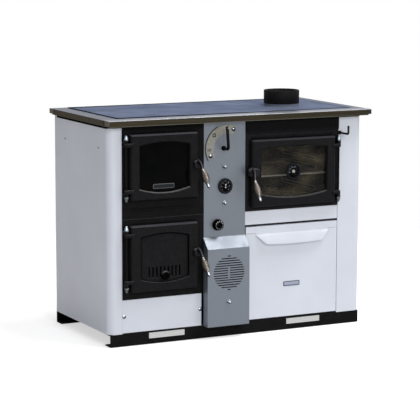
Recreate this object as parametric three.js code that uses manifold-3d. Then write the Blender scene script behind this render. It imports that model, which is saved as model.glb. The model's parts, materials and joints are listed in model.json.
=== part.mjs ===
import * as THREE from 'three';
import { mergeVertices } from 'three/addons/utils/BufferGeometryUtils.js';
import Module from 'manifold-3d';

// Boiler stove: a kitchen range with a water jacket round its fire. Millimetres, +Z up, front towards -Y.
// While it is built, x = 0 and y = 0 are the middle of the worktop and z = 0 is the floor.

// Overall sizes
const stoveHeight = 850;
const worktopWidth = 1116;
const worktopDepth = 570;
const frontOverhang = 45;
const backOverhang = 17;

// Columns of the front, from left to right
const leftPilasterWidth = 55;
const castingWidth = 335;
const controlWidth = 176;
const ovenFrameWidth = 407;
const rightPilasterWidth = 107;
const columnGap = 2;

// Heights above the floor
const skidHeight = 47;
const ashCastingBase = 176.5;
const fireCastingBase = 480;
const ovenFrameBase = 476;
const railBase = 423;
const drawerTop = 414;
const drawerBase = 53;
const controlBottomGap = 3;

// Clearances
const seat = 0.3;
const runGap = 0.5;
const sealGap = 1.5;
const slideGap = 1;
const cutOver = 5;

// Casings
const sheet = 2;
const floorSheet = 3;
const cornerRadius = 28;
const rearFlange = 20;
const panelReturn = 14;
const smallSides = 12;
const dialSides = 32;

// Skids
const skidLength = 1072;
const skidDepth = 50;
const skidWall = 4;
const forkWidth = 150;
const forkBase = 20;
const forkHeight = 22.5;
const forkSpread = 295;
const forkShift = -8;

// Worktop
const rimHeight = 19;
const rimLip = 5;
const rimLipInset = 8;
const rimLeft = 70;
const rimRight = 45;
const rimFront = 85;
const rimBack = 18;
const rimLedge = 10;
const hobThickness = 12;
const hobJoint = 200;
const hobRib = 8;
const hobRibInset = 16;
const hobGap = 1;

// Flue
const flueX = 325;
const flueY = 17;
const flueOuterRadius = 70.5;
const flueWall = 4;
const flueRise = 60;
const flueSpigotWall = 3;
const flueSides = 36;

// Castings and doors
const castProud = 5;
const castThickness = 12;
const doorThickness = 19.5;
const doorBevel = 5;
const windowBevel = 3;
const doorCorner = 6;
const windowLap = 8;
const glassThickness = 4;
const glassSetBack = 4;
const doorCover = 22;
const arcSteps = 8;
const doorCornerSteps = 3;
const ribWidthInset = 38;
const ribRise = 30;
const ribHeight = 5;
const ribProud = 3;
const ribInsetRight = 41;
const headerHeight = 50;
const headerProud = 3;

// Hinges
const hingeReach = 17;
const hingeSetBack = 6;
const hingeRodRadius = 3.5;
const knuckleRadius = 8;
const armHeight = 12.5;
const armLap = 12;
const armProud = 1.5;
const armThickness = 11;
const lugHeight = 12;
const nutLength = 20;
const nutBaseRadius = 9;
const nutTipRadius = 5.5;
const nutTipDrop = 2;
const nutSkirt = 4;
const roundSides = 20;
const bendSteps = 5;

// Handles
const hubRadius = 14;
const hubLength = 26;
const axleRadius = 4.5;
const earRadius = 20;
const tongueReach = 13.5;
const tongueWidth = 10;
const tongueThickness = 7;
const pocketHalfHeight = 17;
const pocketMargin = 1.5;
const neckRadius = 11;
const neckEndRadius = 5.5;
const neckPull = 11;
const neckSteps = 5;
const gripLean = 27;
const ferruleRadius = 6.4;
const ferruleLength = 2;
const coreRadius = 2.8;
const coreTipRadius = 2.2;
const coreTipLength = 8;
const gripNutRadius = 5.6;
const gripNutLength = 18;
const gripNutCollar = 3;

// Coil grips
const wireRadius = 1.4;
const coilPitch = 3.6;
const coilEndRadius = 4.8;
const coilMiddleRadius = 12.8;
const coilBend = 2.2;
const coilStepsPerTurn = 8;
const coilSides = 5;
const coilBendSteps = 3;

// Control panel and what it carries
const crankX = -68;
const crankZ = 724;
const crankRadius = 5;
const crankBend = 8;
const crankReach = 41;
const crankRise = 87;
const crankLean = 4;
const crankCollarRadius = 8;
const crankCollar = 4;
const crankInside = 60;
const crankFlapWidth = 40;
const crankFlapHeight = 24;
const crankFlapThickness = 4;
const scaleX = -54;
const scaleInner = 56;
const scaleOuter = 89;
const scaleThickness = 2;
const scaleFrom = 64;
const scaleTo = 209;
const scaleSteps = 16;
const panelNutX = -63;
const upperNutZ = 653;
const lowerNutZ = 514.5;
const coverNutZ = 140;
const nutRadius = 8.5;
const nutBase = 6;
const nutDome = 7;
const gaugeX = -62;
const gaugeZ = 580;
const gaugeRadius = 29.5;
const gaugeProud = 9;
const gaugeWall = 3;
const gaugeRecess = 4;
const gaugeBodyRadius = 24;
const gaugeBodyDepth = 22;
const needleHub = 3.5;
const needleWidth = 2;
const needleThickness = 1;
const needleLift = 0.8;
const needlePin = 1.5;
const knobX = -94;
const knobZ = 434;
const knobRadius = 21.5;
const knobProud = 20;
const knobSkirt = 5;
const knobTop = 18;
const knobShaft = 3;
const knobBoreDepth = 12;
const switchSize = 48;
const switchDepth = 34;

// Draught fan and its cover
const coverLeftLap = 2;
const coverBase = 48;
const coverFaceTop = 347;
const coverSlopeTop = 388;
const coverDepth = 38;
const grilleX = -62;
const grilleZ = 252.5;
const grilleRadius = 66;
const grilleSlots = 15;
const grillePitch = 9.2;
const grilleSlotHeight = 4;
const grilleSplitSlots = 5;
const grilleBar = 7;
const fanRadius = 52;
const fanBlades = 8;
const fanBladeThickness = 2;
const fanBladeInner = 20;
const fanPlate = 2;
const fanDepth = 20;
const fanHub = 11;
const fanShaft = 4;
const fanShaftDepth = 26;
const fanStandOff = 5;
const motorRadius = 34;
const motorDepth = 48;
const motorFlange = 44;
const motorFlangeThickness = 3;

// Fire side
const jacketLeft = 18;
const jacketRight = 7;
const jacketBackGap = 77.7;
const jacketBase = 180;
const jacketOuterWall = 4;
const jacketInnerWall = 5;
const waterGap = 30;
const jacketFrontWall = 18;
const jacketFloor = 8;
const waterFloor = 20;
const waterTopDrop = 26;
const legThickness = 6;
const legInset = 30;
const socketRadius = 21;
const socketBore = 16.5;
const socketReach = 26;
const flowInset = 50;
const flowDrop = 56;
const returnInset = 60;
const returnRise = 50;
const smokeFloor = 748;
const smokeWindowInset = 40;
const brickThickness = 25;
const brickHeight = 112;
const brickSetBack = 83.7;
const grateBase = 470;
const grateThickness = 15;
const grateBars = 9;
const grateSlotWidth = 10;
const grateMargin = 20;
const ledgeReach = 8;
const ledgeHeight = 8;
const ashPanInset = 6;
const ashPanHeight = 62;
const ashPanBackGap = 18;
const ashPanSetBack = 26;
const ashPanGrip = 30;

// Smoke channel and damper
const smokeWall = 4;
const smokeRightLap = 20;
const smokeFrontSetBack = 63;
const smokeBackGap = 26;
const damperX = 443;
const damperZ = 759;
const damperRodRadius = 4;
const damperReach = 68;
const damperBend = 7;
const damperRise = 32;
const damperTravel = 55;
const damperPlateWidth = 180;
const damperPlateDepth = 62;
const damperPlateThickness = 3;
const damperWebLength = 30;
const damperBackGap = 88;
const downcomerWidth = 150;
const downcomerDepth = 46;

// Oven
const ovenWall = 4;
const ovenBackGap = 102.7;
const ovenSideInset = 35;
const ovenFloor = 512;
const ovenCeiling = 735;
const rackZ = 602.5;
const rackWire = 3;
const rackBars = 13;
const rackLedge = 10;
const rackSides = 6;

// Wood drawer
const drawerLeftGap = 4;
const drawerFrontDepth = 16;
const drawerBoxInset = 16;
const drawerBoxTopDrop = 24;
const drawerBackGap = 71.7;
const drawerWall = 2.5;
const runnerHeight = 14;
const runnerThickness = 4;
const lipLeft = 43;
const lipRight = 40;
const lipTop = 384;
const lipDrop = 41;
const lipReach = 19;
const lipThickness = 2.5;
const lipCorner = 40;
const lipSteps = 6;

// Left doors (the fire door over the ash door) and the oven door
const fireDoor = {
  base: 549, height: 245, left: 26, width: 277, hubInset: 8, hubRise: 124, hand: 1,
  neckSide: 8, neckForward: 16, neckDrop: 11, gripTilt: 5, coilTurns: 13,
  margin: 36, glassBase: 43, glassTop: 43, sag: 17, rise: 12,
  nutTopDrop: -1, nutBaseRise: -4,
};
const ashDoor = {
  base: 204, height: 251, left: 26, width: 277, hubInset: 8, hubRise: 136, hand: 1,
  neckSide: 8, neckForward: 16, neckDrop: 12, gripTilt: 5, coilTurns: 13,
  margin: 38, glassBase: 48, glassTop: 45, sag: 16, rise: 14,
  nutTopDrop: -3, nutBaseRise: 1,
};
const ovenDoor = {
  base: 492, height: 258, left: 18, width: 365, hubInset: 8, hubRise: 136, hand: -1,
  neckSide: 16.5, neckForward: 12, neckDrop: 20, gripTilt: 0, coilTurns: 17,
  margin: 39, glassBase: 50, glassTop: 40, sag: 17, rise: 11,
  nutTopDrop: -1, nutBaseRise: -1,
};
const panelRecess = 6;
const airSlots = 9;
const airSlotPitch = 15.8;
const airSlotWidth = 5.7;
const airSlotHeight = 41;
const airSlotRise = 51;
const airPlateThickness = 3;
const airPlateMargin = 12;
const airPocketDepth = 7.5;
const airKnobRadius = 17;
const airKnobLength = 14;
const airKnobRise = 58;
const airPinRadius = 3;
const airTravel = 7.9;
const ovenGaugeRadius = 30;
const ovenGaugeProud = 10;
const ovenGaugeShiftX = -2;
const ovenGaugeRise = 130;
const ovenGaugeStem = 4;

// Materials, as the photograph shows them
const white = new THREE.MeshStandardMaterial({ color: 0xd1d6dc, roughness: 0.35, metalness: 0 });
const grey = new THREE.MeshStandardMaterial({ color: 0x838992, roughness: 0.45, metalness: 0.4 });
const castIron = new THREE.MeshStandardMaterial({ color: 0x202021, roughness: 0.7, metalness: 0.2 });
const blackPaint = new THREE.MeshStandardMaterial({ color: 0x1c1b1c, roughness: 0.6, metalness: 0.1 });
const rimSteel = new THREE.MeshStandardMaterial({ color: 0x8d909b, roughness: 0.3, metalness: 0.9 });
const hobSteel = new THREE.MeshStandardMaterial({ color: 0x6e768b, roughness: 0.5, metalness: 0.6 });
const chrome = new THREE.MeshStandardMaterial({ color: 0xe2e6ea, roughness: 0.15, metalness: 1 });
const wire = new THREE.MeshStandardMaterial({ color: 0xa09a94, roughness: 0.3, metalness: 1 });
const glass = new THREE.MeshStandardMaterial({ color: 0x1a1c1a, roughness: 0.05, metalness: 0 });
const boilerPlate = new THREE.MeshStandardMaterial({ color: 0x4a4b4d, roughness: 0.7, metalness: 0.3 });
const galvanised = new THREE.MeshStandardMaterial({ color: 0xa6abb0, roughness: 0.5, metalness: 0.8 });
const brick = new THREE.MeshStandardMaterial({ color: 0xc9b48f, roughness: 0.95, metalness: 0 });
const plastic = new THREE.MeshStandardMaterial({ color: 0x141517, roughness: 0.4, metalness: 0 });
const pointerPaint = new THREE.MeshStandardMaterial({ color: 0xd9dcdf, roughness: 0.4, metalness: 0 });

// Places that follow from the sizes above
const bodyWidth = leftPilasterWidth + castingWidth + controlWidth + ovenFrameWidth + rightPilasterWidth
  + 3 * columnGap;
const bodyLeft = -bodyWidth / 2;
const bodyRight = bodyWidth / 2;
const castLeft = bodyLeft + leftPilasterWidth;
const castRight = castLeft + castingWidth;
const panelLeft = castRight + columnGap;
const panelRight = panelLeft + controlWidth;
const frameLeft = panelRight + columnGap;
const frameRight = frameLeft + ovenFrameWidth;
const pilasterRight = frameRight + columnGap;
const bodyFront = -worktopDepth / 2 + frontOverhang;
const bodyBack = worktopDepth / 2 - backOverhang;
const bodyTop = stoveHeight - rimHeight - rimLip;
const casingTop = bodyTop - seat;
const casingBase = skidHeight + seat;
const floorTop = casingBase + floorSheet;
const insideBase = floorTop + seat;
const castFace = bodyFront - castProud;
const castBack = castFace + castThickness;
const doorBack = castFace - sealGap;
const doorFace = doorBack - doorThickness;
const panelFace = bodyFront - 3 * seat - sheet;
const panelBack = panelFace + sheet;

// Solids

const wasm = await Module();
wasm.setup();
const mergeDistance = 1e-4;

// Six times the volume under a closed mesh; below zero where its faces point inwards.
function signedVolume(points, index) {
  let sum = 0;
  for (let i = 0; i < index.length; i += 3) {
    const [a, b, c] = [index[i] * 3, index[i + 1] * 3, index[i + 2] * 3];
    sum += points[a] * (points[b + 1] * points[c + 2] - points[b + 2] * points[c + 1])
      + points[a + 1] * (points[b + 2] * points[c] - points[b] * points[c + 2])
      + points[a + 2] * (points[b] * points[c + 1] - points[b + 1] * points[c]);
  }
  return sum;
}

// A closed mesh as a solid: corners merged, slivers at poles dropped, faces turned outwards.
function toSolid(geometry) {
  const bare = geometry.clone();
  bare.deleteAttribute('normal');
  bare.deleteAttribute('uv');
  const merged = mergeVertices(bare, mergeDistance);
  const points = Float32Array.from(merged.attributes.position.array);
  const index = merged.index.array;
  const kept = [];
  for (let i = 0; i < index.length; i += 3) {
    const corners = [index[i], index[i + 1], index[i + 2]];
    if (new Set(corners).size === 3) {
      kept.push(...corners);
    }
  }
  if (signedVolume(points, kept) < 0) {
    for (let i = 0; i < kept.length; i += 3) {
      [kept[i + 1], kept[i + 2]] = [kept[i + 2], kept[i + 1]];
    }
  }
  const mesh = new wasm.Mesh({ numProp: 3, vertProperties: points, triVerts: Uint32Array.from(kept) });
  return new wasm.Manifold(mesh);
}

function toGeometry(solid) {
  const data = solid.getMesh();
  const geometry = new THREE.BufferGeometry();
  geometry.setAttribute('position', new THREE.BufferAttribute(Float32Array.from(data.vertProperties), 3));
  geometry.setIndex(new THREE.BufferAttribute(Uint32Array.from(data.triVerts), 1));
  geometry.computeVertexNormals();
  return geometry;
}

function joined(solids) {
  return solids.reduce((whole, next) => whole.add(next));
}

function without(solid, cuts) {
  return cuts.reduce((rest, next) => rest.subtract(next), solid);
}

function block(x0, x1, y0, y1, z0, z1) {
  const geometry = new THREE.BoxGeometry(x1 - x0, y1 - y0, z1 - z0);
  geometry.translate((x0 + x1) / 2, (y0 + y1) / 2, (z0 + z1) / 2);
  return toSolid(geometry);
}

// Round bars along each axis; sides counts their flats.
function barY(x, z, radius, y0, y1, sides = roundSides) {
  const geometry = new THREE.CylinderGeometry(radius, radius, y1 - y0, sides);
  geometry.translate(x, (y0 + y1) / 2, z);
  return toSolid(geometry);
}

function barZ(x, y, radius, z0, z1, sides = roundSides) {
  const geometry = new THREE.CylinderGeometry(radius, radius, z1 - z0, sides);
  geometry.rotateX(Math.PI / 2);
  geometry.translate(x, y, (z0 + z1) / 2);
  return toSolid(geometry);
}

function barX(y, z, radius, x0, x1, sides = roundSides) {
  const geometry = new THREE.CylinderGeometry(radius, radius, x1 - x0, sides);
  geometry.rotateZ(Math.PI / 2);
  geometry.translate((x0 + x1) / 2, y, z);
  return toSolid(geometry);
}

// An outline in x and z, given thickness between two places in y; the bevel is on its front.
function plateY(shape, yFront, yBack, bevel = 0, curveSteps = arcSteps) {
  const options = { depth: yBack - yFront - bevel, bevelEnabled: false, curveSegments: curveSteps };
  if (bevel > 0) {
    Object.assign(options, {
      bevelEnabled: true, bevelThickness: bevel, bevelSize: bevel, bevelOffset: -bevel, bevelSegments: 1,
    });
  }
  const geometry = new THREE.ExtrudeGeometry(shape, options);
  geometry.rotateX(Math.PI / 2);
  geometry.translate(0, yBack, 0);
  const solid = toSolid(geometry);
  if (bevel === 0) {
    return solid;
  }
  const span = 2 * worktopWidth;
  return solid.subtract(block(-span, span, yBack, yBack + bevel + cutOver, -span, span));
}

// An outline in x and y, given thickness between two heights.
function plateZ(shape, z0, z1) {
  const geometry = new THREE.ExtrudeGeometry(shape,
    { depth: z1 - z0, bevelEnabled: false, curveSegments: arcSteps });
  geometry.translate(0, 0, z0);
  return toSolid(geometry);
}

// An outline in y and z, given length between two places in x.
function plateX(shape, x0, x1) {
  const geometry = new THREE.ExtrudeGeometry(shape,
    { depth: x1 - x0, bevelEnabled: false, curveSegments: arcSteps });
  const turn = new THREE.Matrix4().makeBasis(
    new THREE.Vector3(0, 1, 0), new THREE.Vector3(0, 0, 1), new THREE.Vector3(1, 0, 0));
  geometry.applyMatrix4(turn);
  geometry.translate(x0, 0, 0);
  return toSolid(geometry);
}

// A profile of [radius, height] turned about +Z.
function turnedZ(profile, sides = roundSides) {
  const geometry = new THREE.LatheGeometry(profile.map(([r, h]) => new THREE.Vector2(r, h)), sides);
  geometry.rotateX(Math.PI / 2);
  return toSolid(geometry);
}

// A profile of [radius, forward reach] turned about the front-to-back line through x and z.
function turnedForward(x, z, yBase, profile, sides = roundSides) {
  const geometry = new THREE.LatheGeometry(profile.map(([r, h]) => new THREE.Vector2(r, -h)), sides);
  geometry.translate(x, yBase, z);
  return toSolid(geometry);
}

// Rings of points round a path, joined ring to ring and closed at both ends.
function sweptSolid(stations, sides) {
  const corners = [];
  for (const { centre, across, over } of stations) {
    for (let k = 0; k < sides; k += 1) {
      const a = 2 * Math.PI * k / sides;
      const point = centre.clone().addScaledVector(across, Math.cos(a)).addScaledVector(over, Math.sin(a));
      corners.push(point.x, point.y, point.z);
    }
  }
  const faces = [];
  for (let i = 0; i + 1 < stations.length; i += 1) {
    for (let k = 0; k < sides; k += 1) {
      const next = (k + 1) % sides;
      const [a, b] = [i * sides + k, i * sides + next];
      const [c, d] = [a + sides, b + sides];
      faces.push(a, b, d, a, d, c);
    }
  }
  const last = (stations.length - 1) * sides;
  for (let k = 1; k + 1 < sides; k += 1) {
    faces.push(0, k + 1, k, last, last + k, last + k + 1);
  }
  const geometry = new THREE.BufferGeometry();
  geometry.setAttribute('position', new THREE.Float32BufferAttribute(corners, 3));
  geometry.setIndex(faces);
  return toSolid(geometry);
}

// A round rod from the back at y = yBack to the front at y = yFront, where it bends up to z = rise.
function bentRod(radius, bend, yBack, yFront, rise) {
  const station = (y, z, ty, tz) => ({
    centre: new THREE.Vector3(0, y, z),
    across: new THREE.Vector3(radius, 0, 0),
    over: new THREE.Vector3(0, -tz, ty).multiplyScalar(radius),
  });
  const stations = [station(yBack, 0, -1, 0)];
  for (let i = 0; i <= bendSteps; i += 1) {
    const a = Math.PI / 2 * i / bendSteps;
    stations.push(station(yFront + bend * (1 - Math.sin(a)), bend * (1 - Math.cos(a)),
      -Math.cos(a), Math.sin(a)));
  }
  stations.push(station(yFront, rise, 0, 1));
  return sweptSolid(stations, smallSides);
}

function outline(points) {
  const shape = new THREE.Shape();
  points.forEach(([u, v], i) => (i === 0 ? shape.moveTo(u, v) : shape.lineTo(u, v)));
  shape.closePath();
  return shape;
}

function roundedRectangle(x0, x1, z0, z1, r) {
  const shape = new THREE.Shape();
  shape.moveTo(x0 + r, z0);
  shape.lineTo(x1 - r, z0);
  shape.absarc(x1 - r, z0 + r, r, -Math.PI / 2, 0, false);
  shape.lineTo(x1, z1 - r);
  shape.absarc(x1 - r, z1 - r, r, 0, Math.PI / 2, false);
  shape.lineTo(x0 + r, z1);
  shape.absarc(x0 + r, z1 - r, r, Math.PI / 2, Math.PI, false);
  shape.lineTo(x0, z0 + r);
  shape.absarc(x0 + r, z0 + r, r, Math.PI, 1.5 * Math.PI, false);
  return shape;
}

// Straight sides between two arcs: the lower one hangs down by sag, the upper one stands up by rise.
function archedOutline(x0, x1, z0, z1, sag, rise) {
  const middle = (x0 + x1) / 2;
  const half = (x1 - x0) / 2;
  const lowRadius = (half * half + sag * sag) / (2 * sag);
  const highRadius = (half * half + rise * rise) / (2 * rise);
  const lowAngle = Math.asin(half / lowRadius);
  const highAngle = Math.asin(half / highRadius);
  const shape = new THREE.Shape();
  const down = -Math.PI / 2;
  shape.absarc(middle, z0 - sag + lowRadius, lowRadius, down - lowAngle, down + lowAngle, false);
  shape.absarc(middle, z1 + rise - highRadius, highRadius, -down - highAngle, -down + highAngle, false);
  shape.closePath();
  return shape;
}

// Scene

const stove = new THREE.Group();
stove.name = 'boiler_stove';

function addPiece(parent, name, solid, material) {
  const mesh = new THREE.Mesh(toGeometry(solid), material);
  mesh.name = name;
  parent.add(mesh);
  return mesh;
}

// Skids: a channel with its web outwards and its flanges under the body.
function skid(webFace, inward) {
  const far = webFace + inward * skidDepth;
  const inner = webFace + inward * skidWall;
  const [y0, y1] = [Math.min(webFace, far), Math.max(webFace, far)];
  const hollow = inward > 0 ? [inner, far + cutOver] : [far - cutOver, inner];
  const half = skidLength / 2;
  const bar = block(-half, half, y0, y1, 0, skidHeight);
  const channel = block(-half - cutOver, half + cutOver, ...hollow, skidWall, skidHeight - skidWall);
  const windows = [-1, 1].map((side) => {
    const middle = forkShift + side * forkSpread;
    return block(middle - forkWidth / 2, middle + forkWidth / 2, y0 - cutOver, y1 + cutOver,
      forkBase, forkBase + forkHeight);
  });
  return without(bar, [channel, ...windows]);
}
const frontSkidFace = bodyFront + slideGap;
const rearSkidFace = worktopDepth / 2;
addPiece(stove, 'skid_front', skid(frontSkidFace, 1), blackPaint);
addPiece(stove, 'skid_rear', skid(rearSkidFace, -1), blackPaint);

// Base plate with the two low guides that the wood drawer runs between.
function drawerBoxSpan() {
  return [frameLeft + drawerLeftGap + drawerBoxInset, frameRight - drawerBoxInset];
}
function basePlate() {
  const x1 = bodyRight - sheet - seat;
  const y0 = bodyFront + sheet + seat;
  const y1 = bodyBack - sheet - seat;
  const plate = plateZ(roundedRectangle(-x1, x1, y0, y1, cornerRadius), casingBase, floorTop);
  const square = block(-x1, x1, y1 - cornerRadius, y1, casingBase, floorTop);
  const [boxLeft, boxRight] = drawerBoxSpan();
  const guides = [boxLeft - slideGap - runnerThickness, boxRight + slideGap].map((x) =>
    block(x, x + runnerThickness, y0 + cornerRadius, y1 - cornerRadius, casingBase, floorTop + runnerHeight));
  return joined([plate, square, ...guides]);
}
addPiece(stove, 'base_plate', basePlate(), galvanised);

// Side casings: one sheet from the pilaster round the front corner to a flange at the back.
function casingOutline(pilaster) {
  const r = cornerRadius;
  const inner = r - sheet;
  const edge = bodyRight;
  const shape = new THREE.Shape();
  shape.moveTo(edge - pilaster, bodyFront);
  shape.lineTo(edge - r, bodyFront);
  shape.absarc(edge - r, bodyFront + r, r, -Math.PI / 2, 0, false);
  shape.lineTo(edge, bodyBack);
  shape.lineTo(edge - rearFlange, bodyBack);
  shape.lineTo(edge - rearFlange, bodyBack - sheet);
  shape.lineTo(edge - sheet, bodyBack - sheet);
  shape.lineTo(edge - sheet, bodyFront + r);
  shape.absarc(edge - r, bodyFront + r, inner, 0, -Math.PI / 2, true);
  shape.lineTo(edge - pilaster, bodyFront + sheet);
  shape.closePath();
  return shape;
}
function sideCasing(side, pilaster) {
  const geometry = new THREE.ExtrudeGeometry(casingOutline(pilaster),
    { depth: casingTop - casingBase, bevelEnabled: false, curveSegments: arcSteps });
  geometry.translate(0, 0, casingBase);
  geometry.scale(side, 1, 1);
  return toSolid(geometry);
}
addPiece(stove, 'side_casing_left', sideCasing(-1, leftPilasterWidth), white);
const rodHole = barY(damperX, damperZ, damperRodRadius + runGap, bodyFront - cutOver, bodyFront + cutOver,
  smallSides);
addPiece(stove, 'side_casing_right', sideCasing(1, rightPilasterWidth).subtract(rodHole), white);

// Rear panel with holes for the two boiler sockets.
const jacketX0 = castLeft + jacketLeft;
const jacketX1 = castRight - jacketRight;
const jacketY0 = castBack + seat;
const jacketY1 = bodyBack - jacketBackGap;
const flowX = jacketX0 + flowInset;
const flowZ = casingTop - flowDrop;
const returnX = jacketX1 - returnInset;
const returnZ = jacketBase + returnRise;
const rearPanelBack = bodyBack - sheet - seat;
function rearPanel() {
  const half = bodyRight - sheet - seat;
  const panel = block(-half, half, rearPanelBack - sheet, rearPanelBack, insideBase, casingTop);
  const holes = [[flowX, flowZ], [returnX, returnZ]].map(([x, z]) =>
    barY(x, z, socketRadius + slideGap, rearPanelBack - sheet - cutOver, rearPanelBack + cutOver));
  return without(panel, holes);
}
addPiece(stove, 'rear_panel', rearPanel(), galvanised);

// A front sheet with its upper and lower edges turned back.
function foldedFront(x0, x1, z0, z1, depth) {
  const shape = outline([
    [bodyFront, z0], [bodyFront + depth, z0], [bodyFront + depth, z0 + sheet],
    [bodyFront + sheet, z0 + sheet], [bodyFront + sheet, z1 - sheet], [bodyFront + depth, z1 - sheet],
    [bodyFront + depth, z1], [bodyFront, z1],
  ]);
  return plateX(shape, x0, x1);
}
addPiece(stove, 'lower_front_panel',
  foldedFront(castLeft + seat, castRight, insideBase, ashCastingBase - seat, panelReturn), white);
addPiece(stove, 'front_rail',
  foldedFront(frameLeft, frameRight, railBase, ovenFrameBase - seat, panelReturn), white);

// Castings: a plate with a door opening, a pocket for the latch and two lugs for the hinge rod.
function doorPlace(door, columnLeft) {
  const left = columnLeft + door.left;
  const right = left + door.width;
  const hubX = door.hand > 0 ? right - door.hubInset : left + door.hubInset;
  const hingeX = door.hand > 0 ? left - hingeReach : right + hingeReach;
  return {
    ...door, left, right, top: door.base + door.height, hubX, hubZ: door.base + door.hubRise,
    hingeX, hingeY: doorFace + hingeSetBack,
  };
}
const fire = doorPlace(fireDoor, castLeft);
const ash = doorPlace(ashDoor, castLeft);
const oven = doorPlace(ovenDoor, frameLeft);

function hingeHeights(place) {
  const nutTop = place.top - place.nutTopDrop;
  const nutBase = place.base + place.nutBaseRise;
  const upperLug = nutTop - nutLength - lugHeight;
  const lowerLug = nutBase + nutLength;
  return { nutTop, nutBase, upperLug, lowerLug };
}

function frontCasting(place, x0, x1, z0, z1) {
  const openLeft = place.left + doorCover;
  const openRight = place.right - doorCover;
  const latchEdge = place.hubX + place.hand * (tongueReach + pocketMargin);
  const pocket = place.hand > 0 ? [openRight - cutOver, latchEdge] : [latchEdge, openLeft + cutOver];
  const { upperLug, lowerLug } = hingeHeights(place);
  const lugs = [upperLug, lowerLug].map((z) => {
    const half = knuckleRadius;
    const foot = block(place.hingeX - half, place.hingeX + half, place.hingeY, castFace + seat,
      z, z + lugHeight);
    return foot.add(barZ(place.hingeX, place.hingeY, knuckleRadius, z, z + lugHeight));
  });
  const bores = [upperLug, lowerLug].map((z) =>
    barZ(place.hingeX, place.hingeY, hingeRodRadius + runGap, z - cutOver, z + lugHeight + cutOver,
      smallSides));
  const plate = block(x0, x1, castFace, castBack, z0, z1);
  return without(joined([plate, ...lugs]), [
    block(openLeft, openRight, castFace - cutOver, castBack + cutOver,
      place.base + doorCover, place.top - doorCover),
    block(...pocket, castFace - cutOver, castBack + cutOver,
      place.hubZ - pocketHalfHeight, place.hubZ + pocketHalfHeight),
    ...bores,
  ]);
}
const sillRib = block(castLeft + ribWidthInset, castRight - ribInsetRight, castFace - ribProud, castFace + seat,
  fireCastingBase + ribRise, fireCastingBase + ribRise + ribHeight);
addPiece(stove, 'fire_front_casting',
  frontCasting(fire, castLeft + seat, castRight, fireCastingBase, casingTop).add(sillRib), castIron);
addPiece(stove, 'ash_front_casting',
  frontCasting(ash, castLeft + seat, castRight, ashCastingBase, fireCastingBase - seat), castIron);
const ovenHeader = block(frameLeft, frameRight, castFace - headerProud, castFace + seat,
  casingTop - headerHeight, casingTop);
addPiece(stove, 'oven_front_frame',
  frontCasting(oven, frameLeft, frameRight, ovenFrameBase, casingTop).add(ovenHeader), blackPaint);

// Worktop rim: a frame with a ledge for the hob plates and a small set-back lip below.
const rimX = worktopWidth / 2;
const rimY = worktopDepth / 2;
const wellX0 = -rimX + rimLeft;
const wellX1 = rimX - rimRight;
const wellY0 = -rimY + rimFront;
const wellY1 = rimY - rimBack;
const hobBase = stoveHeight - hobThickness;
function worktopRim() {
  const upper = block(-rimX, rimX, -rimY, rimY, bodyTop + rimLip, stoveHeight);
  const lip = block(-rimX + rimLipInset, rimX - rimLipInset, -rimY + rimLipInset, rimY - rimLipInset,
    bodyTop, bodyTop + rimLip + cutOver);
  return without(upper.add(lip), [
    block(wellX0, wellX1, wellY0, wellY1, hobBase - seat, stoveHeight + cutOver),
    block(wellX0 + rimLedge, wellX1 - rimLedge, wellY0 + rimLedge, wellY1 - rimLedge,
      bodyTop - cutOver, stoveHeight + cutOver),
  ]);
}
addPiece(stove, 'worktop_rim', worktopRim(), rimSteel);

// Hob plates: cast slabs with a sealing rib round their underside.
function hobPlate(x0, x1) {
  const [y0, y1] = [wellY0 + hobGap, wellY1 - hobGap];
  const slab = block(x0, x1, y0, y1, hobBase, stoveHeight);
  const rim = hobRibInset;
  const ribBase = bodyTop + seat;
  const outer = block(x0 + rim, x1 - rim, y0 + rim, y1 - rim, ribBase, hobBase + seat);
  const inner = block(x0 + rim + hobRib, x1 - rim - hobRib, y0 + rim + hobRib, y1 - rim - hobRib,
    ribBase - cutOver, hobBase);
  return slab.add(outer.subtract(inner));
}
addPiece(stove, 'hob_plate_left', hobPlate(wellX0 + hobGap, hobJoint - hobGap / 2), hobSteel);
const flueInner = flueOuterRadius - flueWall;
const flueHole = barZ(flueX, flueY, flueInner, hobBase - cutOver, stoveHeight + cutOver, flueSides);
addPiece(stove, 'hob_plate_right',
  hobPlate(hobJoint + hobGap / 2, wellX1 - hobGap).subtract(flueHole), hobSteel);

// Flue collar: a tube on the hob with a spigot in its hole.
function flueCollar() {
  const base = stoveHeight + seat;
  const spigot = flueInner - 2 * seat;
  const bore = spigot - flueSpigotWall;
  const profile = [
    [bore, hobBase], [spigot, hobBase], [spigot, base], [flueOuterRadius, base],
    [flueOuterRadius, base + flueRise], [flueInner, base + flueRise], [flueInner, base + flueWall],
    [bore, base + flueWall], [bore, hobBase],
  ];
  return turnedZ(profile, flueSides).translate([flueX, flueY, 0]);
}
addPiece(stove, 'flue_collar', flueCollar(), blackPaint);

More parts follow.
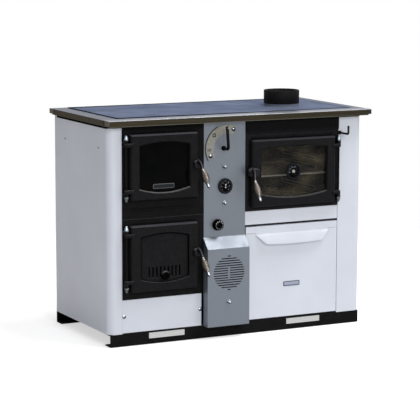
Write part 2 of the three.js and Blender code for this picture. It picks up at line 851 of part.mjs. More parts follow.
// Boiler: a water jacket open at the front and the top, on two legs, with flow and return sockets.
const fireX0 = jacketX0 + jacketOuterWall + waterGap + jacketInnerWall;
const fireX1 = jacketX1 - jacketOuterWall - waterGap - jacketInnerWall;
const fireY1 = jacketY1 - jacketOuterWall - waterGap - jacketInnerWall;
const fireFloor = jacketBase + jacketFloor;
function boilerJacket() {
  const shell = block(jacketX0, jacketX1, jacketY0, jacketY1, jacketBase, casingTop);
  const legs = [jacketX0 + legInset, jacketX1 - legInset - legThickness].map((x) =>
    block(x, x + legThickness, jacketY0 + legInset, jacketY1 - legInset, insideBase, jacketBase + seat));
  const sockets = [[flowX, flowZ], [returnX, returnZ]].map(([x, z]) =>
    barY(x, z, socketRadius, jacketY1 - seat, bodyBack + socketReach));
  const room = block(fireX0, fireX1, jacketY0 - cutOver, fireY1, fireFloor, casingTop + cutOver);
  const waterLow = jacketBase + waterFloor;
  const waterHigh = casingTop - waterTopDrop;
  const waterBack = jacketY1 - jacketOuterWall;
  const waterFront = jacketY0 + jacketFrontWall;
  const leftWater = jacketX0 + jacketOuterWall;
  const rightWater = jacketX1 - jacketOuterWall;
  const water = joined([
    block(leftWater, leftWater + waterGap, waterFront, waterBack, waterLow, waterHigh),
    block(rightWater - waterGap, rightWater, waterFront, waterBack, waterLow, smokeFloor - waterFloor),
    block(leftWater, rightWater, waterBack - waterGap, waterBack, waterLow, smokeFloor - waterFloor),
    block(leftWater, rightWater - waterGap, waterBack - waterGap, waterBack, waterLow, waterHigh),
  ]);
  const bores = [[flowX, flowZ], [returnX, returnZ]].map(([x, z]) =>
    barY(x, z, socketBore, waterBack - cutOver, bodyBack + socketReach + cutOver));
  const smokeWindow = block(fireX1 - cutOver, jacketX1 + cutOver, jacketY0 + smokeWindowInset,
    fireY1 - smokeWindowInset, smokeFloor, casingTop + cutOver);
  const ledgeSpans = [[fireX0 - seat, fireX0 + ledgeReach], [fireX1 - ledgeReach, fireX1 + seat]];
  const ledges = ledgeSpans.map(([x0, x1]) =>
    block(x0, x1, jacketY0 + legInset, fireY1 + seat, grateBase - ledgeHeight - seat, grateBase - seat));
  const body = without(joined([shell, ...legs, ...sockets]), [room, water, ...bores, smokeWindow]);
  return joined([body, ...ledges]);
}
addPiece(stove, 'boiler_jacket', boilerJacket(), boilerPlate);

// Grate on the jacket's ledges, and a row of bricks on each side above it.
function fireGrate() {
  const [x0, x1] = [fireX0 + seat, fireX1 - seat];
  const [y0, y1] = [jacketY0 + legInset, fireY1 - seat];
  const slab = block(x0, x1, y0, y1, grateBase, grateBase + grateThickness);
  const pitch = (x1 - x0 - 2 * grateMargin) / (grateBars - 1);
  const slots = Array.from({ length: grateBars }, (_, i) => x0 + grateMargin + i * pitch).map((x) =>
    block(x - grateSlotWidth / 2, x + grateSlotWidth / 2, y0 + grateMargin, y1 - grateMargin,
      grateBase - cutOver, grateBase + grateThickness + cutOver));
  return without(slab, slots);
}
addPiece(stove, 'fire_grate', fireGrate(), castIron);
const brickBase = grateBase + grateThickness + seat;
const brickY0 = jacketY0 + brickSetBack;
addPiece(stove, 'firebrick_left', block(fireX0 + seat, fireX0 + seat + brickThickness, brickY0, fireY1 - seat,
  brickBase, brickBase + brickHeight), brick);
addPiece(stove, 'firebrick_right', block(fireX1 - seat - brickThickness, fireX1 - seat,
  brickY0, fireY1 - seat, brickBase, brickBase + brickHeight), brick);

// Ash pan on the jacket's floor, with a strip to pull it by.
function ashPan() {
  const [x0, x1] = [fireX0 + ashPanInset, fireX1 - ashPanInset];
  const y0 = jacketY0 + ashPanSetBack;
  const y1 = fireY1 - ashPanBackGap;
  const [z0, z1] = [fireFloor + seat, fireFloor + seat + ashPanHeight];
  const pan = block(x0, x1, y0, y1, z0, z1);
  const inside = block(x0 + sheet, x1 - sheet, y0 + sheet, y1 - sheet, z0 + sheet, z1 + cutOver);
  const middle = (x0 + x1) / 2;
  const strip = block(middle - ashPanGrip, middle + ashPanGrip, y0 - ashPanGrip / 2, y0 + sheet,
    z1 - sheet, z1);
  return pan.subtract(inside).add(strip);
}
addPiece(stove, 'ash_pan', ashPan(), galvanised);

// Smoke channel under the hob: a trough from the fire to the flue, with a way down behind the oven.
const damperEnd = bodyBack - bodyFront - damperBackGap;
const smokeX0 = jacketX1 + seat;
const smokeX1 = frameRight + smokeRightLap;
const smokeY0 = castBack + smokeFrontSetBack;
const smokeY1 = bodyBack - smokeBackGap;
const downX1 = damperX - 2 * damperRodRadius - smokeWall;
const damperPlateFront = bodyFront + damperEnd - damperPlateDepth;
const downY0 = damperPlateFront + damperTravel + (damperPlateDepth - downcomerDepth) / 2;
function smokeChannel() {
  const trough = block(smokeX0, smokeX1, smokeY0, smokeY1, smokeFloor - smokeWall, casingTop);
  const holeHigh = damperRodRadius + runGap;
  return without(trough, [
    block(smokeX0 - cutOver, smokeX1 - smokeWall, smokeY0 + smokeWall, smokeY1 - smokeWall,
      smokeFloor, casingTop + cutOver),
    block(downX1 - downcomerWidth, downX1, downY0, downY0 + downcomerDepth,
      smokeFloor - smokeWall - cutOver, smokeFloor + cutOver),
    barY(damperX, damperZ, holeHigh, smokeY0 - cutOver, smokeY0 + smokeWall + cutOver, smallSides),
  ]);
}
addPiece(stove, 'smoke_channel', smokeChannel(), boilerPlate);

// Oven: a box behind the frame, ledges for the rack, and the wire rack.
const ovenX0 = frameLeft + ovenSideInset;
const ovenX1 = frameRight - ovenSideInset;
const ovenY0 = castBack + seat;
const ovenY1 = bodyBack - ovenBackGap;
function ovenBox() {
  const shell = block(ovenX0 - ovenWall, ovenX1 + ovenWall, ovenY0, ovenY1,
    ovenFloor - ovenWall, ovenCeiling + ovenWall);
  const room = block(ovenX0, ovenX1, ovenY0 - cutOver, ovenY1 - ovenWall, ovenFloor, ovenCeiling);
  const ledgeTop = rackZ - rackWire - seat;
  const ledges = [[ovenX0 - seat, ovenX0 + rackLedge], [ovenX1 - rackLedge, ovenX1 + seat]].map(([x0, x1]) =>
    block(x0, x1, ovenY0 + cutOver, ovenY1 - ovenWall + seat, ledgeTop - ovenWall, ledgeTop));
  return joined([shell.subtract(room), ...ledges]);
}
addPiece(stove, 'oven_box', ovenBox(), blackPaint);
function ovenRack() {
  const [x0, x1] = [ovenX0 + slideGap, ovenX1 - slideGap];
  const [y0, y1] = [ovenY0 + 2 * rackLedge, ovenY1 - ovenWall - slideGap];
  const frame = [y0 + rackWire, y1 - rackWire].map((y) => barX(y, rackZ, rackWire, x0, x1, rackSides));
  const rails = [x0 + rackWire, x1 - rackWire].map((x) => barY(x, rackZ, rackWire, y0, y1, rackSides));
  const pitch = (x1 - x0 - 2 * rackWire) / (rackBars + 1);
  const bars = Array.from({ length: rackBars }, (_, i) => x0 + rackWire + (i + 1) * pitch).map((x) =>
    barY(x, rackZ, rackWire / 2, y0 + rackWire, y1 - rackWire, rackSides));
  return joined([...frame, ...rails, ...bars]);
}
addPiece(stove, 'oven_rack', ovenRack(), chrome);

// Control panel: one grey sheet down the middle of the front, with holes for what passes through it.
function controlPanel() {
  const panel = block(panelLeft, panelRight, panelFace, panelBack, insideBase, casingTop);
  const [y0, y1] = [panelFace - cutOver, panelBack + cutOver];
  return without(panel, [
    barY(crankX, crankZ, crankRadius + runGap, y0, y1, smallSides),
    barY(gaugeX, gaugeZ, gaugeBodyRadius + seat, y0, y1),
    barY(knobX, knobZ, knobShaft + slideGap, y0, y1, smallSides),
    barY(grilleX, grilleZ, fanShaft + slideGap, y0, y1, smallSides),
  ]);
}
addPiece(stove, 'control_panel', controlPanel(), grey);

// Quadrant scale round the crank's shaft.
function quadrantScale() {
  const start = THREE.MathUtils.degToRad(scaleFrom);
  const end = THREE.MathUtils.degToRad(scaleTo);
  const points = [];
  for (let i = 0; i <= scaleSteps; i += 1) {
    const a = start + (end - start) * i / scaleSteps;
    points.push([scaleX + scaleOuter * Math.cos(a), crankZ + scaleOuter * Math.sin(a)]);
  }
  for (let i = scaleSteps; i >= 0; i -= 1) {
    const a = start + (end - start) * i / scaleSteps;
    points.push([scaleX + scaleInner * Math.cos(a), crankZ + scaleInner * Math.sin(a)]);
  }
  return plateY(outline(points), panelFace - seat - scaleThickness, panelFace - seat);
}
addPiece(stove, 'regulator_scale', quadrantScale(), galvanised);

// Bent crank on its shaft, with the flap that it turns behind the panel.
const crank = new THREE.Group();
crank.position.set(crankX, panelFace, crankZ);
stove.add(crank);
function regulatorCrank() {
  const bar = bentRod(crankRadius, crankBend, crankInside, -crankReach, crankRise);
  const collar = barY(0, 0, crankCollarRadius, -crankCollar - seat, -seat);
  const flap = block(-crankFlapThickness / 2, crankFlapThickness / 2, crankInside - crankFlapWidth, crankInside,
    -crankFlapHeight, crankRadius);
  return joined([bar.rotate([0, -crankLean, 0]), collar, flap]);
}
addPiece(crank, 'regulator_crank', regulatorCrank(), blackPaint);

// Acorn nuts.
function acornNut(x, z, yBase) {
  const profile = [
    [0, seat], [nutRadius, seat], [nutRadius, nutBase], [nutRadius - nutDome / 4, nutBase + nutDome / 2],
    [nutRadius / 2, nutBase + nutDome], [0, nutBase + nutDome],
  ];
  return turnedForward(x, z, yBase, profile);
}
addPiece(stove, 'panel_nut_upper', acornNut(panelNutX, upperNutZ, panelFace), chrome);
addPiece(stove, 'panel_nut_lower', acornNut(panelNutX, lowerNutZ, panelFace), chrome);

// A gauge: a cup with a dial at its bottom, a body behind, and a needle on a pin in the dial.
function gaugeCup(x, z, yBase, radius, proud, backRadius, backDepth) {
  const dial = proud - gaugeRecess;
  const cup = turnedForward(x, z, yBase, [
    [0, seat], [radius, seat], [radius, proud - gaugeWall / 2], [radius - gaugeWall / 2, proud],
    [radius - gaugeWall, proud], [radius - gaugeWall, dial], [0, dial],
  ], dialSides);
  const body = barY(x, z, backRadius, yBase - 2 * seat, yBase + backDepth);
  const pinHole = barY(x, z, needlePin + runGap, yBase - dial - cutOver, yBase - dial + gaugeWall / 2,
    smallSides);
  return without(cup.add(body), [pinHole]);
}
function needle(length, dialToPin) {
  const hub = barY(0, 0, needleHub, -needleLift - needleThickness, -needleLift);
  const pin = barY(0, 0, needlePin, -needleLift - needleThickness, dialToPin - seat, smallSides);
  const blade = block(-needleWidth / 2, needleWidth / 2, -needleLift - needleThickness, -needleLift,
    0, length);
  return joined([hub, pin, blade]);
}
const gaugeBack = gaugeBodyDepth;
addPiece(stove, 'boiler_gauge',
  gaugeCup(gaugeX, gaugeZ, panelFace, gaugeRadius, gaugeProud, gaugeBodyRadius, gaugeBack), plastic);
const gaugeNeedle = new THREE.Group();
gaugeNeedle.position.set(gaugeX, panelFace - gaugeProud + gaugeRecess, gaugeZ);
stove.add(gaugeNeedle);
addPiece(gaugeNeedle, 'boiler_gauge_needle',
  needle(gaugeRadius - 2 * gaugeWall - needleWidth, gaugeWall / 2), pointerPaint);

// Thermostat: a switch behind the panel and the knob on its shaft.
function thermostatSwitch() {
  const half = switchSize / 2;
  const body = block(knobX - half, knobX + half, panelBack + seat, panelBack + seat + switchDepth,
    knobZ - half, knobZ + half);
  return body.add(barY(knobX, knobZ, knobShaft, panelFace - knobBoreDepth + slideGap, panelBack + sheet,
    smallSides));
}
addPiece(stove, 'thermostat_switch', thermostatSwitch(), plastic);
const knob = new THREE.Group();
knob.position.set(knobX, panelFace, knobZ);
stove.add(knob);
function thermostatKnob() {
  const body = turnedForward(0, 0, 0, [
    [0, slideGap], [knobRadius, slideGap], [knobRadius, knobSkirt], [knobTop, knobSkirt],
    [knobTop - slideGap, knobProud - slideGap], [knobTop - 2 * slideGap, knobProud], [0, knobProud],
  ]);
  return body.subtract(barY(0, 0, knobShaft + runGap, -knobBoreDepth, cutOver, smallSides));
}
addPiece(knob, 'thermostat_knob', thermostatKnob(), plastic);

// Draught fan cover: a folded box, open at the back, with a round grille of slots.
const coverLeft = panelLeft - coverLeftLap + seat;
const coverRight = panelRight + seat;
const coverBack = panelFace - seat;
const coverFace = coverBack - coverDepth;
function fanCover() {
  const outer = outline([
    [coverBack, coverBase], [coverBack, coverSlopeTop], [coverFace, coverFaceTop], [coverFace, coverBase],
  ]);
  const slope = (coverSlopeTop - coverFaceTop) / coverDepth;
  const drop = sheet * Math.sqrt(1 + slope * slope);
  const inner = outline([
    [coverBack + cutOver, coverBase + sheet], [coverBack + cutOver, coverSlopeTop - drop + slope * cutOver],
    [coverFace + sheet, coverFaceTop + slope * sheet - drop], [coverFace + sheet, coverBase + sheet],
  ]);
  const slots = [];
  const middleSlot = (grilleSlots - 1) / 2;
  for (let i = 0; i < grilleSlots; i += 1) {
    const offset = (i - middleSlot) * grillePitch;
    const reach = Math.abs(offset) + grilleSlotHeight / 2;
    const half = Math.sqrt(Math.max(grilleRadius * grilleRadius - reach * reach, grilleBar * grilleBar));
    const split = Math.abs(i - middleSlot) <= (grilleSplitSlots - 1) / 2;
    const spans = split ? [[-half, -grilleBar / 2], [grilleBar / 2, half]] : [[-half, half]];
    for (const [a, b] of spans) {
      slots.push(block(grilleX + a, grilleX + b, coverFace - cutOver, coverFace + sheet + cutOver,
        grilleZ + offset - grilleSlotHeight / 2, grilleZ + offset + grilleSlotHeight / 2));
    }
  }
  return without(plateX(outer, coverLeft, coverRight), [
    plateX(inner, coverLeft + sheet, coverRight - sheet), ...slots,
  ]);
}
addPiece(stove, 'fan_cover', fanCover(), grey);
addPiece(stove, 'fan_cover_nut', acornNut(panelNutX, coverNutZ, coverFace), chrome);

// Fan motor behind the panel and the impeller on its shaft inside the cover.
function fanMotor() {
  const face = panelBack + seat;
  const flange = barY(grilleX, grilleZ, motorFlange, face, face + motorFlangeThickness);
  const can = barY(grilleX, grilleZ, motorRadius, face, face + motorDepth);
  return flange.add(can).subtract(barY(grilleX, grilleZ, fanShaft + runGap, face - cutOver,
    face + fanShaftDepth, smallSides));
}
addPiece(stove, 'fan_motor', fanMotor(), blackPaint);
const fan = new THREE.Group();
fan.position.set(grilleX, panelFace - fanStandOff, grilleZ);
stove.add(fan);
function fanImpeller() {
  const plate = barY(0, 0, fanRadius, -fanPlate, 0, dialSides);
  const hub = barY(0, 0, fanHub, -fanDepth, 0);
  const shaft = barY(0, 0, fanShaft, -fanPlate, fanStandOff + sheet + fanShaftDepth - slideGap, smallSides);
  const blades = Array.from({ length: fanBlades }, (_, i) => {
    const blade = new THREE.BoxGeometry(fanRadius - fanBladeInner, fanDepth, fanBladeThickness);
    blade.translate((fanRadius + fanBladeInner) / 2 - fanBladeThickness, -fanDepth / 2, 0);
    blade.rotateY(2 * Math.PI * i / fanBlades);
    return toSolid(blade);
  });
  return joined([plate, hub, shaft, ...blades]);
}
addPiece(fan, 'fan_impeller', fanImpeller(), galvanised);

// Doors: a bevelled casting with hinge knuckles, an ear round the handle's axle and a recess or window.
function doorCasting(place) {
  const { left, right, base, top, hand } = place;
  const slab = plateY(roundedRectangle(left, right, base, top, doorCorner), doorFace, doorBack, doorBevel,
    doorCornerSteps);
  const ear = barY(place.hubX, place.hubZ, earRadius, doorFace + doorBevel / 2, doorBack);
  const { upperLug, lowerLug } = hingeHeights(place);
  const armBases = [upperLug - seat - armHeight, lowerLug + lugHeight + seat];
  const armFront = doorFace - armProud;
  const armEdge = hand > 0 ? left + armLap : right - armLap;
  const arms = armBases.map((z) => {
    const span = [Math.min(place.hingeX, armEdge), Math.max(place.hingeX, armEdge)];
    const arm = block(...span, armFront, armFront + armThickness, z, z + armHeight);
    return arm.add(barZ(place.hingeX, place.hingeY, knuckleRadius, z, z + armHeight));
  });
  const bores = armBases.map((z) =>
    barZ(place.hingeX, place.hingeY, hingeRodRadius + runGap, z - cutOver, z + armHeight + cutOver,
      smallSides));
  const axleHole = barY(place.hubX, place.hubZ, axleRadius + runGap, doorFace - cutOver, doorBack + cutOver,
    smallSides);
  return without(joined([slab, ear, ...arms]), [...bores, axleHole]);
}
function windowOutline(place, grow) {
  return archedOutline(place.left + place.margin - grow, place.right - place.margin + grow,
    place.base + place.glassBase - grow, place.top - place.glassTop + grow, place.sag, place.rise);
}
const paneFront = doorBack - glassThickness - glassSetBack;
function paneBox(place, grow, y0, y1) {
  return block(place.left + place.margin - windowLap - grow, place.right - place.margin + windowLap + grow,
    y0, y1, place.base + place.glassBase - place.sag - windowLap - grow,
    place.top - place.glassTop + place.rise + windowLap + grow);
}
function glazedDoor(place) {
  const through = plateY(windowOutline(place, 0), doorFace - cutOver, doorBack + cutOver);
  const flare = plateY(windowOutline(place, windowBevel), doorFace - cutOver, doorFace + windowBevel);
  const rebate = paneBox(place, seat, paneFront - seat, doorBack + cutOver);
  return without(doorCasting(place), [through, flare, rebate]);
}
function pane(place) {
  return paneBox(place, 0, paneFront, paneFront + glassThickness);
}

// A body group that turns about a door's hinge line.
function hinged(place) {
  const group = new THREE.Group();
  group.position.set(place.hingeX, place.hingeY, 0);
  stove.add(group);
  return group;
}
function addRiding(group, name, solid, material) {
  const { x, y, z } = group.position;
  return addPiece(group, name, solid.translate([-x, -y, -z]), material);
}

const fireSwing = hinged(fire);
addRiding(fireSwing, 'fire_door', glazedDoor(fire), castIron);
addRiding(fireSwing, 'fire_glass', pane(fire), glass);

const ovenSwing = hinged(oven);
addRiding(ovenSwing, 'oven_door', glazedDoor(oven), castIron);
const ovenGaugeX = (oven.left + oven.right) / 2 + ovenGaugeShiftX;
const ovenGaugeZ = oven.base + ovenGaugeRise;
const stemHole = barY(ovenGaugeX, ovenGaugeZ, ovenGaugeStem + seat, paneFront - cutOver, doorBack + cutOver,
  smallSides);
addRiding(ovenSwing, 'oven_glass', pane(oven).subtract(stemHole), glass);
addRiding(ovenSwing, 'oven_gauge',
  gaugeCup(ovenGaugeX, ovenGaugeZ, paneFront, ovenGaugeRadius, ovenGaugeProud, ovenGaugeStem,
    glassThickness + cutOver), plastic);
const ovenNeedle = new THREE.Group();
ovenNeedle.position.set(ovenGaugeX - oven.hingeX,
  paneFront - ovenGaugeProud + gaugeRecess - oven.hingeY, ovenGaugeZ);
ovenSwing.add(ovenNeedle);
addPiece(ovenNeedle, 'oven_gauge_needle',
  needle(ovenGaugeRadius - 2 * gaugeWall - needleWidth, gaugeWall / 2), pointerPaint);

// Ash door: an arched recess, air slots through it, and a pocket behind for the air slider.
const airMiddle = (ash.left + ash.right) / 2;
const airSlotBase = ash.base + airSlotRise;
const airKnobZ = ash.base + airKnobRise;
const recessFace = doorFace + panelRecess;
const airPlateHalf = airSlotPitch * (airSlots - 1) / 2 + airPlateMargin;
const pocketFace = doorBack - airPocketDepth;
function airSlotCuts(y0, y1) {
  return Array.from({ length: airSlots }, (_, i) => {
    const x = airMiddle + (i - (airSlots - 1) / 2) * airSlotPitch;
    return block(x - airSlotWidth / 2, x + airSlotWidth / 2, y0, y1, airSlotBase, airSlotBase + airSlotHeight);
  });
}
function ashDoorCasting() {
  const recess = plateY(windowOutline(ash, 0), doorFace - cutOver, recessFace);
  const pocket = block(airMiddle - airPlateHalf - slideGap, airMiddle + airPlateHalf + airTravel + slideGap,
    pocketFace, doorBack + cutOver, airSlotBase - 2 * airPlateMargin - seat,
    airSlotBase + airSlotHeight + airPlateMargin + seat);
  const pinSlot = block(airMiddle - airPinRadius - slideGap, airMiddle + airPinRadius + airTravel + slideGap,
    doorFace, pocketFace + cutOver, airKnobZ - airPinRadius - slideGap, airKnobZ + airPinRadius + slideGap);
  return without(doorCasting(ash), [recess, pocket, pinSlot, ...airSlotCuts(doorFace, pocketFace + cutOver)]);
}
const ashSwing = hinged(ash);
addRiding(ashSwing, 'ash_door', ashDoorCasting(), castIron);
function airSlider() {
  const y0 = pocketFace + seat;
  const plate = block(airMiddle - airPlateHalf, airMiddle + airPlateHalf, y0, y0 + airPlateThickness,
    airSlotBase - 2 * airPlateMargin, airSlotBase + airSlotHeight + airPlateMargin);
  const pin = barY(airMiddle, airKnobZ, airPinRadius, recessFace - 2 * seat - airKnobLength / 2, y0 + seat,
    smallSides);
  const button = turnedForward(airMiddle, airKnobZ, recessFace, [
    [0, seat], [airKnobRadius, seat], [airKnobRadius, airKnobLength - 2 * slideGap],
    [airKnobRadius - 2 * slideGap, airKnobLength], [0, airKnobLength],
  ]);
  const slots = airSlotCuts(y0 - slideGap, y0 + airPlateThickness + cutOver).map((slot, i) => {
    const low = Math.abs(i - (airSlots - 1) / 2) * airSlotPitch < airPinRadius + airSlotWidth;
    const raise = low ? airKnobZ + 2 * airPinRadius - airSlotBase : 0;
    return raise > 0 ? slot.subtract(block(airMiddle - airPlateHalf, airMiddle + airPlateHalf, y0 - cutOver,
      y0 + airPlateThickness + 2 * cutOver, airSlotBase - cutOver, airSlotBase + raise)) : slot;
  });
  return joined([without(plate, slots), pin, button]);
}
const slider = new THREE.Group();
ashSwing.add(slider);
addPiece(slider, 'ash_air_slider', airSlider().translate([-ash.hingeX, -ash.hingeY, 0]), castIron);

// Hinge rods with a bullet nut on each end.
function hingeRod(place) {
  const { nutTop, nutBase, upperLug, lowerLug } = hingeHeights(place);
  const rod = barZ(0, 0, hingeRodRadius, nutBase + nutLength / 2, nutTop - nutLength / 2);
  const seatTop = upperLug + lugHeight + seat;
  const seatBase = lowerLug - seat;
  const bullet = (from, to) => {
    const step = Math.sign(to - from);
    return turnedZ([
      [0, from], [nutBaseRadius, from], [nutBaseRadius, from + step * nutSkirt],
      [nutTipRadius, to - step * nutTipDrop], [nutTipRadius / 2, to], [0, to],
    ]);
  };
  return joined([rod, bullet(seatTop, nutTop), bullet(seatBase, nutBase)])
    .translate([place.hingeX, place.hingeY, 0]);
}
addPiece(stove, 'fire_hinge_rod', hingeRod(fire), chrome);
addPiece(stove, 'ash_hinge_rod', hingeRod(ash), chrome);
addPiece(stove, 'oven_hinge_rod', hingeRod(oven), blackPaint);

// Coil grip: wire that leaves the ferrule straight, bends into a barrel of turns and ends straight again.
const coilStraight = 2 * wireRadius;
const coilRise = coilStraight + coilBend;
function coilLength(turns) {
  return 2 * coilRise + turns * coilPitch;
}
function coilPath(turns) {
  const points = [];
  const add = (radius, angle, height, tangent) => {
    const radial = new THREE.Vector3(Math.cos(angle), Math.sin(angle), 0);
    points.push({ centre: radial.clone().multiplyScalar(radius).setZ(height), radial, tangent });
  };
  const up = new THREE.Vector3(0, 0, 1);
  const along = (angle) => new THREE.Vector3(-Math.sin(angle), Math.cos(angle), 0);
  const end = 2 * Math.PI * turns;
  const top = coilLength(turns);
  const bends = Array.from({ length: coilBendSteps }, (_, i) => (i + 1) / (coilBendSteps + 1) * Math.PI / 2);
  const swing = coilBend / coilEndRadius;
  add(coilEndRadius, -swing, 0, up);
  add(coilEndRadius, -swing, coilStraight, up);
  for (const a of bends) {
    const angle = -swing * Math.cos(a);
    add(coilEndRadius, angle, coilStraight + coilBend * Math.sin(a),
      up.clone().multiplyScalar(Math.cos(a)).add(along(angle).multiplyScalar(Math.sin(a))));
  }
  const steps = turns * coilStepsPerTurn;
  for (let i = 0; i <= steps; i += 1) {
    const share = i / steps;
    const angle = end * share;
    const radius = coilEndRadius + (coilMiddleRadius - coilEndRadius) * Math.sin(Math.PI * share);
    const growth = (coilMiddleRadius - coilEndRadius) * Math.PI * Math.cos(Math.PI * share) / end;
    const rise = coilPitch / (2 * Math.PI);
    const radial = new THREE.Vector3(Math.cos(angle), Math.sin(angle), 0);
    const tangent = along(angle).multiplyScalar(radius).add(radial.multiplyScalar(growth))
      .add(up.clone().multiplyScalar(rise)).normalize();
    add(radius, angle, coilRise + coilPitch * turns * share, tangent);
  }
  for (const a of [...bends].reverse()) {
    const angle = end + swing * Math.cos(a);
    add(coilEndRadius, angle, top - coilStraight - coilBend * Math.sin(a),
      up.clone().multiplyScalar(Math.cos(a)).add(along(angle).multiplyScalar(Math.sin(a))));
  }
  add(coilEndRadius, end + swing, top - coilStraight, up);
  add(coilEndRadius, end + swing, top, up);
  return points;
}

function wireSolid(path) {
  const stations = path.map(({ centre, radial, tangent }) => {
    const across = radial.clone().addScaledVector(tangent, -radial.dot(tangent)).normalize();
    const over = new THREE.Vector3().crossVectors(tangent, across);
    return { centre, across: across.multiplyScalar(wireRadius), over: over.multiplyScalar(wireRadius) };
  });
  return sweptSolid(stations, coilSides);
}

// The least gap between stretches of the wire that are more than half a turn apart.
function leastGap(path) {
  let least = Infinity;
  const apart = coilStepsPerTurn / 2 + coilBendSteps;
  for (let i = 0; i < path.length; i += 1) {
    for (let j = i + apart; j < path.length; j += 1) {
      least = Math.min(least, path[i].centre.distanceTo(path[j].centre));
    }
  }
  return least - 2 * wireRadius;
}
const gripPaths = new Map();
for (const { coilTurns } of [fire, oven]) {
  gripPaths.set(coilTurns, coilPath(coilTurns));
  const gap = leastGap(gripPaths.get(coilTurns));
  console.log(`coil grip of ${coilTurns} turns: least gap between turns ${gap.toFixed(2)} mm`);
}

// Handles: axle, hub, neck and the rod that carries the grip; the tongue turns behind the door.
function gripDirection({ hand, gripTilt }) {
  const lean = THREE.MathUtils.degToRad(gripLean);
  const tilt = THREE.MathUtils.degToRad(gripTilt) * hand;
  const down = Math.cos(tilt);
  return new THREE.Vector3(Math.sin(tilt), -Math.sin(lean) * down, -Math.cos(lean) * down);
}
function gripStart({ hand, neckSide, neckForward, neckDrop }) {
  return new THREE.Vector3(hand * neckSide, -hubLength - neckForward, -neckDrop);
}
function gripMatrix(place) {
  const turn = new THREE.Quaternion().setFromUnitVectors(new THREE.Vector3(0, 0, 1), gripDirection(place));
  return new THREE.Matrix4().compose(gripStart(place), turn, new THREE.Vector3(1, 1, 1));
}
function gripRodLength(place) {
  return ferruleLength + 2 * seat + coilLength(place.coilTurns);
}

// The neck leaves the hub's face forwards, bends into the grip's direction and narrows on the way.
function handleNeck(place) {
  const root = new THREE.Vector3(0, -hubLength + seat, 0);
  const end = gripStart(place);
  const curve = new THREE.CubicBezierCurve3(root, root.clone().setY(root.y - neckPull),
    end.clone().addScaledVector(gripDirection(place), -neckPull), end);
  const stations = Array.from({ length: neckSteps + 1 }, (_, i) => {
    const share = i / neckSteps;
    const tangent = curve.getTangent(share);
    const across = new THREE.Vector3(1, 0, 0).addScaledVector(tangent, -tangent.x).normalize();
    const over = new THREE.Vector3().crossVectors(tangent, across);
    const radius = neckRadius + (neckEndRadius - neckRadius) * share;
    return {
      centre: curve.getPoint(share), across: across.multiplyScalar(radius), over: over.multiplyScalar(radius),
    };
  });
  return sweptSolid(stations, smallSides);
}
function handleSolid(place) {
  const hub = barY(0, 0, hubRadius, -hubLength, -seat);
  const tongueBack = doorThickness + sealGap + tongueThickness;
  const axle = barY(0, 0, axleRadius, -hubLength, tongueBack, smallSides);
  const tongueSpan = place.hand > 0 ? [0, tongueReach] : [-tongueReach, 0];
  const tongue = block(...tongueSpan, tongueBack - tongueThickness + slideGap, tongueBack,
    -tongueWidth / 2, tongueWidth / 2);
  const rodLength = gripRodLength(place);
  const rod = turnedZ([
    [0, -seat], [ferruleRadius, -seat], [ferruleRadius, ferruleLength], [coreRadius, ferruleLength],
    [coreRadius, rodLength], [coreTipRadius, rodLength], [coreTipRadius, rodLength + coreTipLength],
    [0, rodLength + coreTipLength],
  ], smallSides);
  return joined([hub, axle, tongue, handleNeck(place), rod.transform(gripMatrix(place).elements)]);
}
function gripNut() {
  const profile = [
    [0, 0], [ferruleRadius, 0], [ferruleRadius, gripNutCollar], [gripNutRadius, gripNutCollar],
    [gripNutRadius, gripNutLength - gripNutRadius], [gripNutRadius / 2, gripNutLength], [0, gripNutLength],
  ];
  const bore = turnedZ([[0, -cutOver], [coreTipRadius + seat, -cutOver],
    [coreTipRadius + seat, coreTipLength + slideGap], [0, coreTipLength + slideGap]], smallSides);
  return turnedZ(profile, smallSides).subtract(bore);
}
function addHandle(group, place, prefix) {
  const handle = new THREE.Group();
  handle.position.set(place.hubX - place.hingeX, doorFace - place.hingeY, place.hubZ);
  group.add(handle);
  addPiece(handle, `${prefix}_handle`, handleSolid(place), castIron);
  const grip = new THREE.Group();
  gripMatrix(place).decompose(grip.position, grip.quaternion, grip.scale);
  handle.add(grip);
  const coil = addPiece(grip, `${prefix}_grip_coil`, wireSolid(gripPaths.get(place.coilTurns)), wire);
  coil.position.z = ferruleLength + seat;
  const nut = addPiece(grip, `${prefix}_grip_nut`, gripNut(), chrome);
  nut.position.z = gripRodLength(place) + seat;
}
addHandle(fireSwing, fire, 'fire');
addHandle(ashSwing, ash, 'ash');
addHandle(ovenSwing, oven, 'oven');

// Damper: a rod through the right pilaster that slides a plate over the way down behind the oven.
const damper = new THREE.Group();
damper.position.set(damperX, bodyFront, damperZ);
stove.add(damper);
function damperRod() {
  const r = damperRodRadius;
  const rod = bentRod(r, damperBend, damperEnd, -damperReach + r, damperRise);
  const plateBase = smokeFloor - damperZ + seat;
  const plate = block(r - damperPlateWidth, r, damperEnd - damperPlateDepth, damperEnd,
    plateBase, plateBase + damperPlateThickness);
  const web = block(-r / 2, r / 2, damperEnd - damperWebLength, damperEnd, plateBase, 0);
  return joined([rod, plate, web]);
}
addPiece(damper, 'damper_rod', damperRod(), blackPaint);

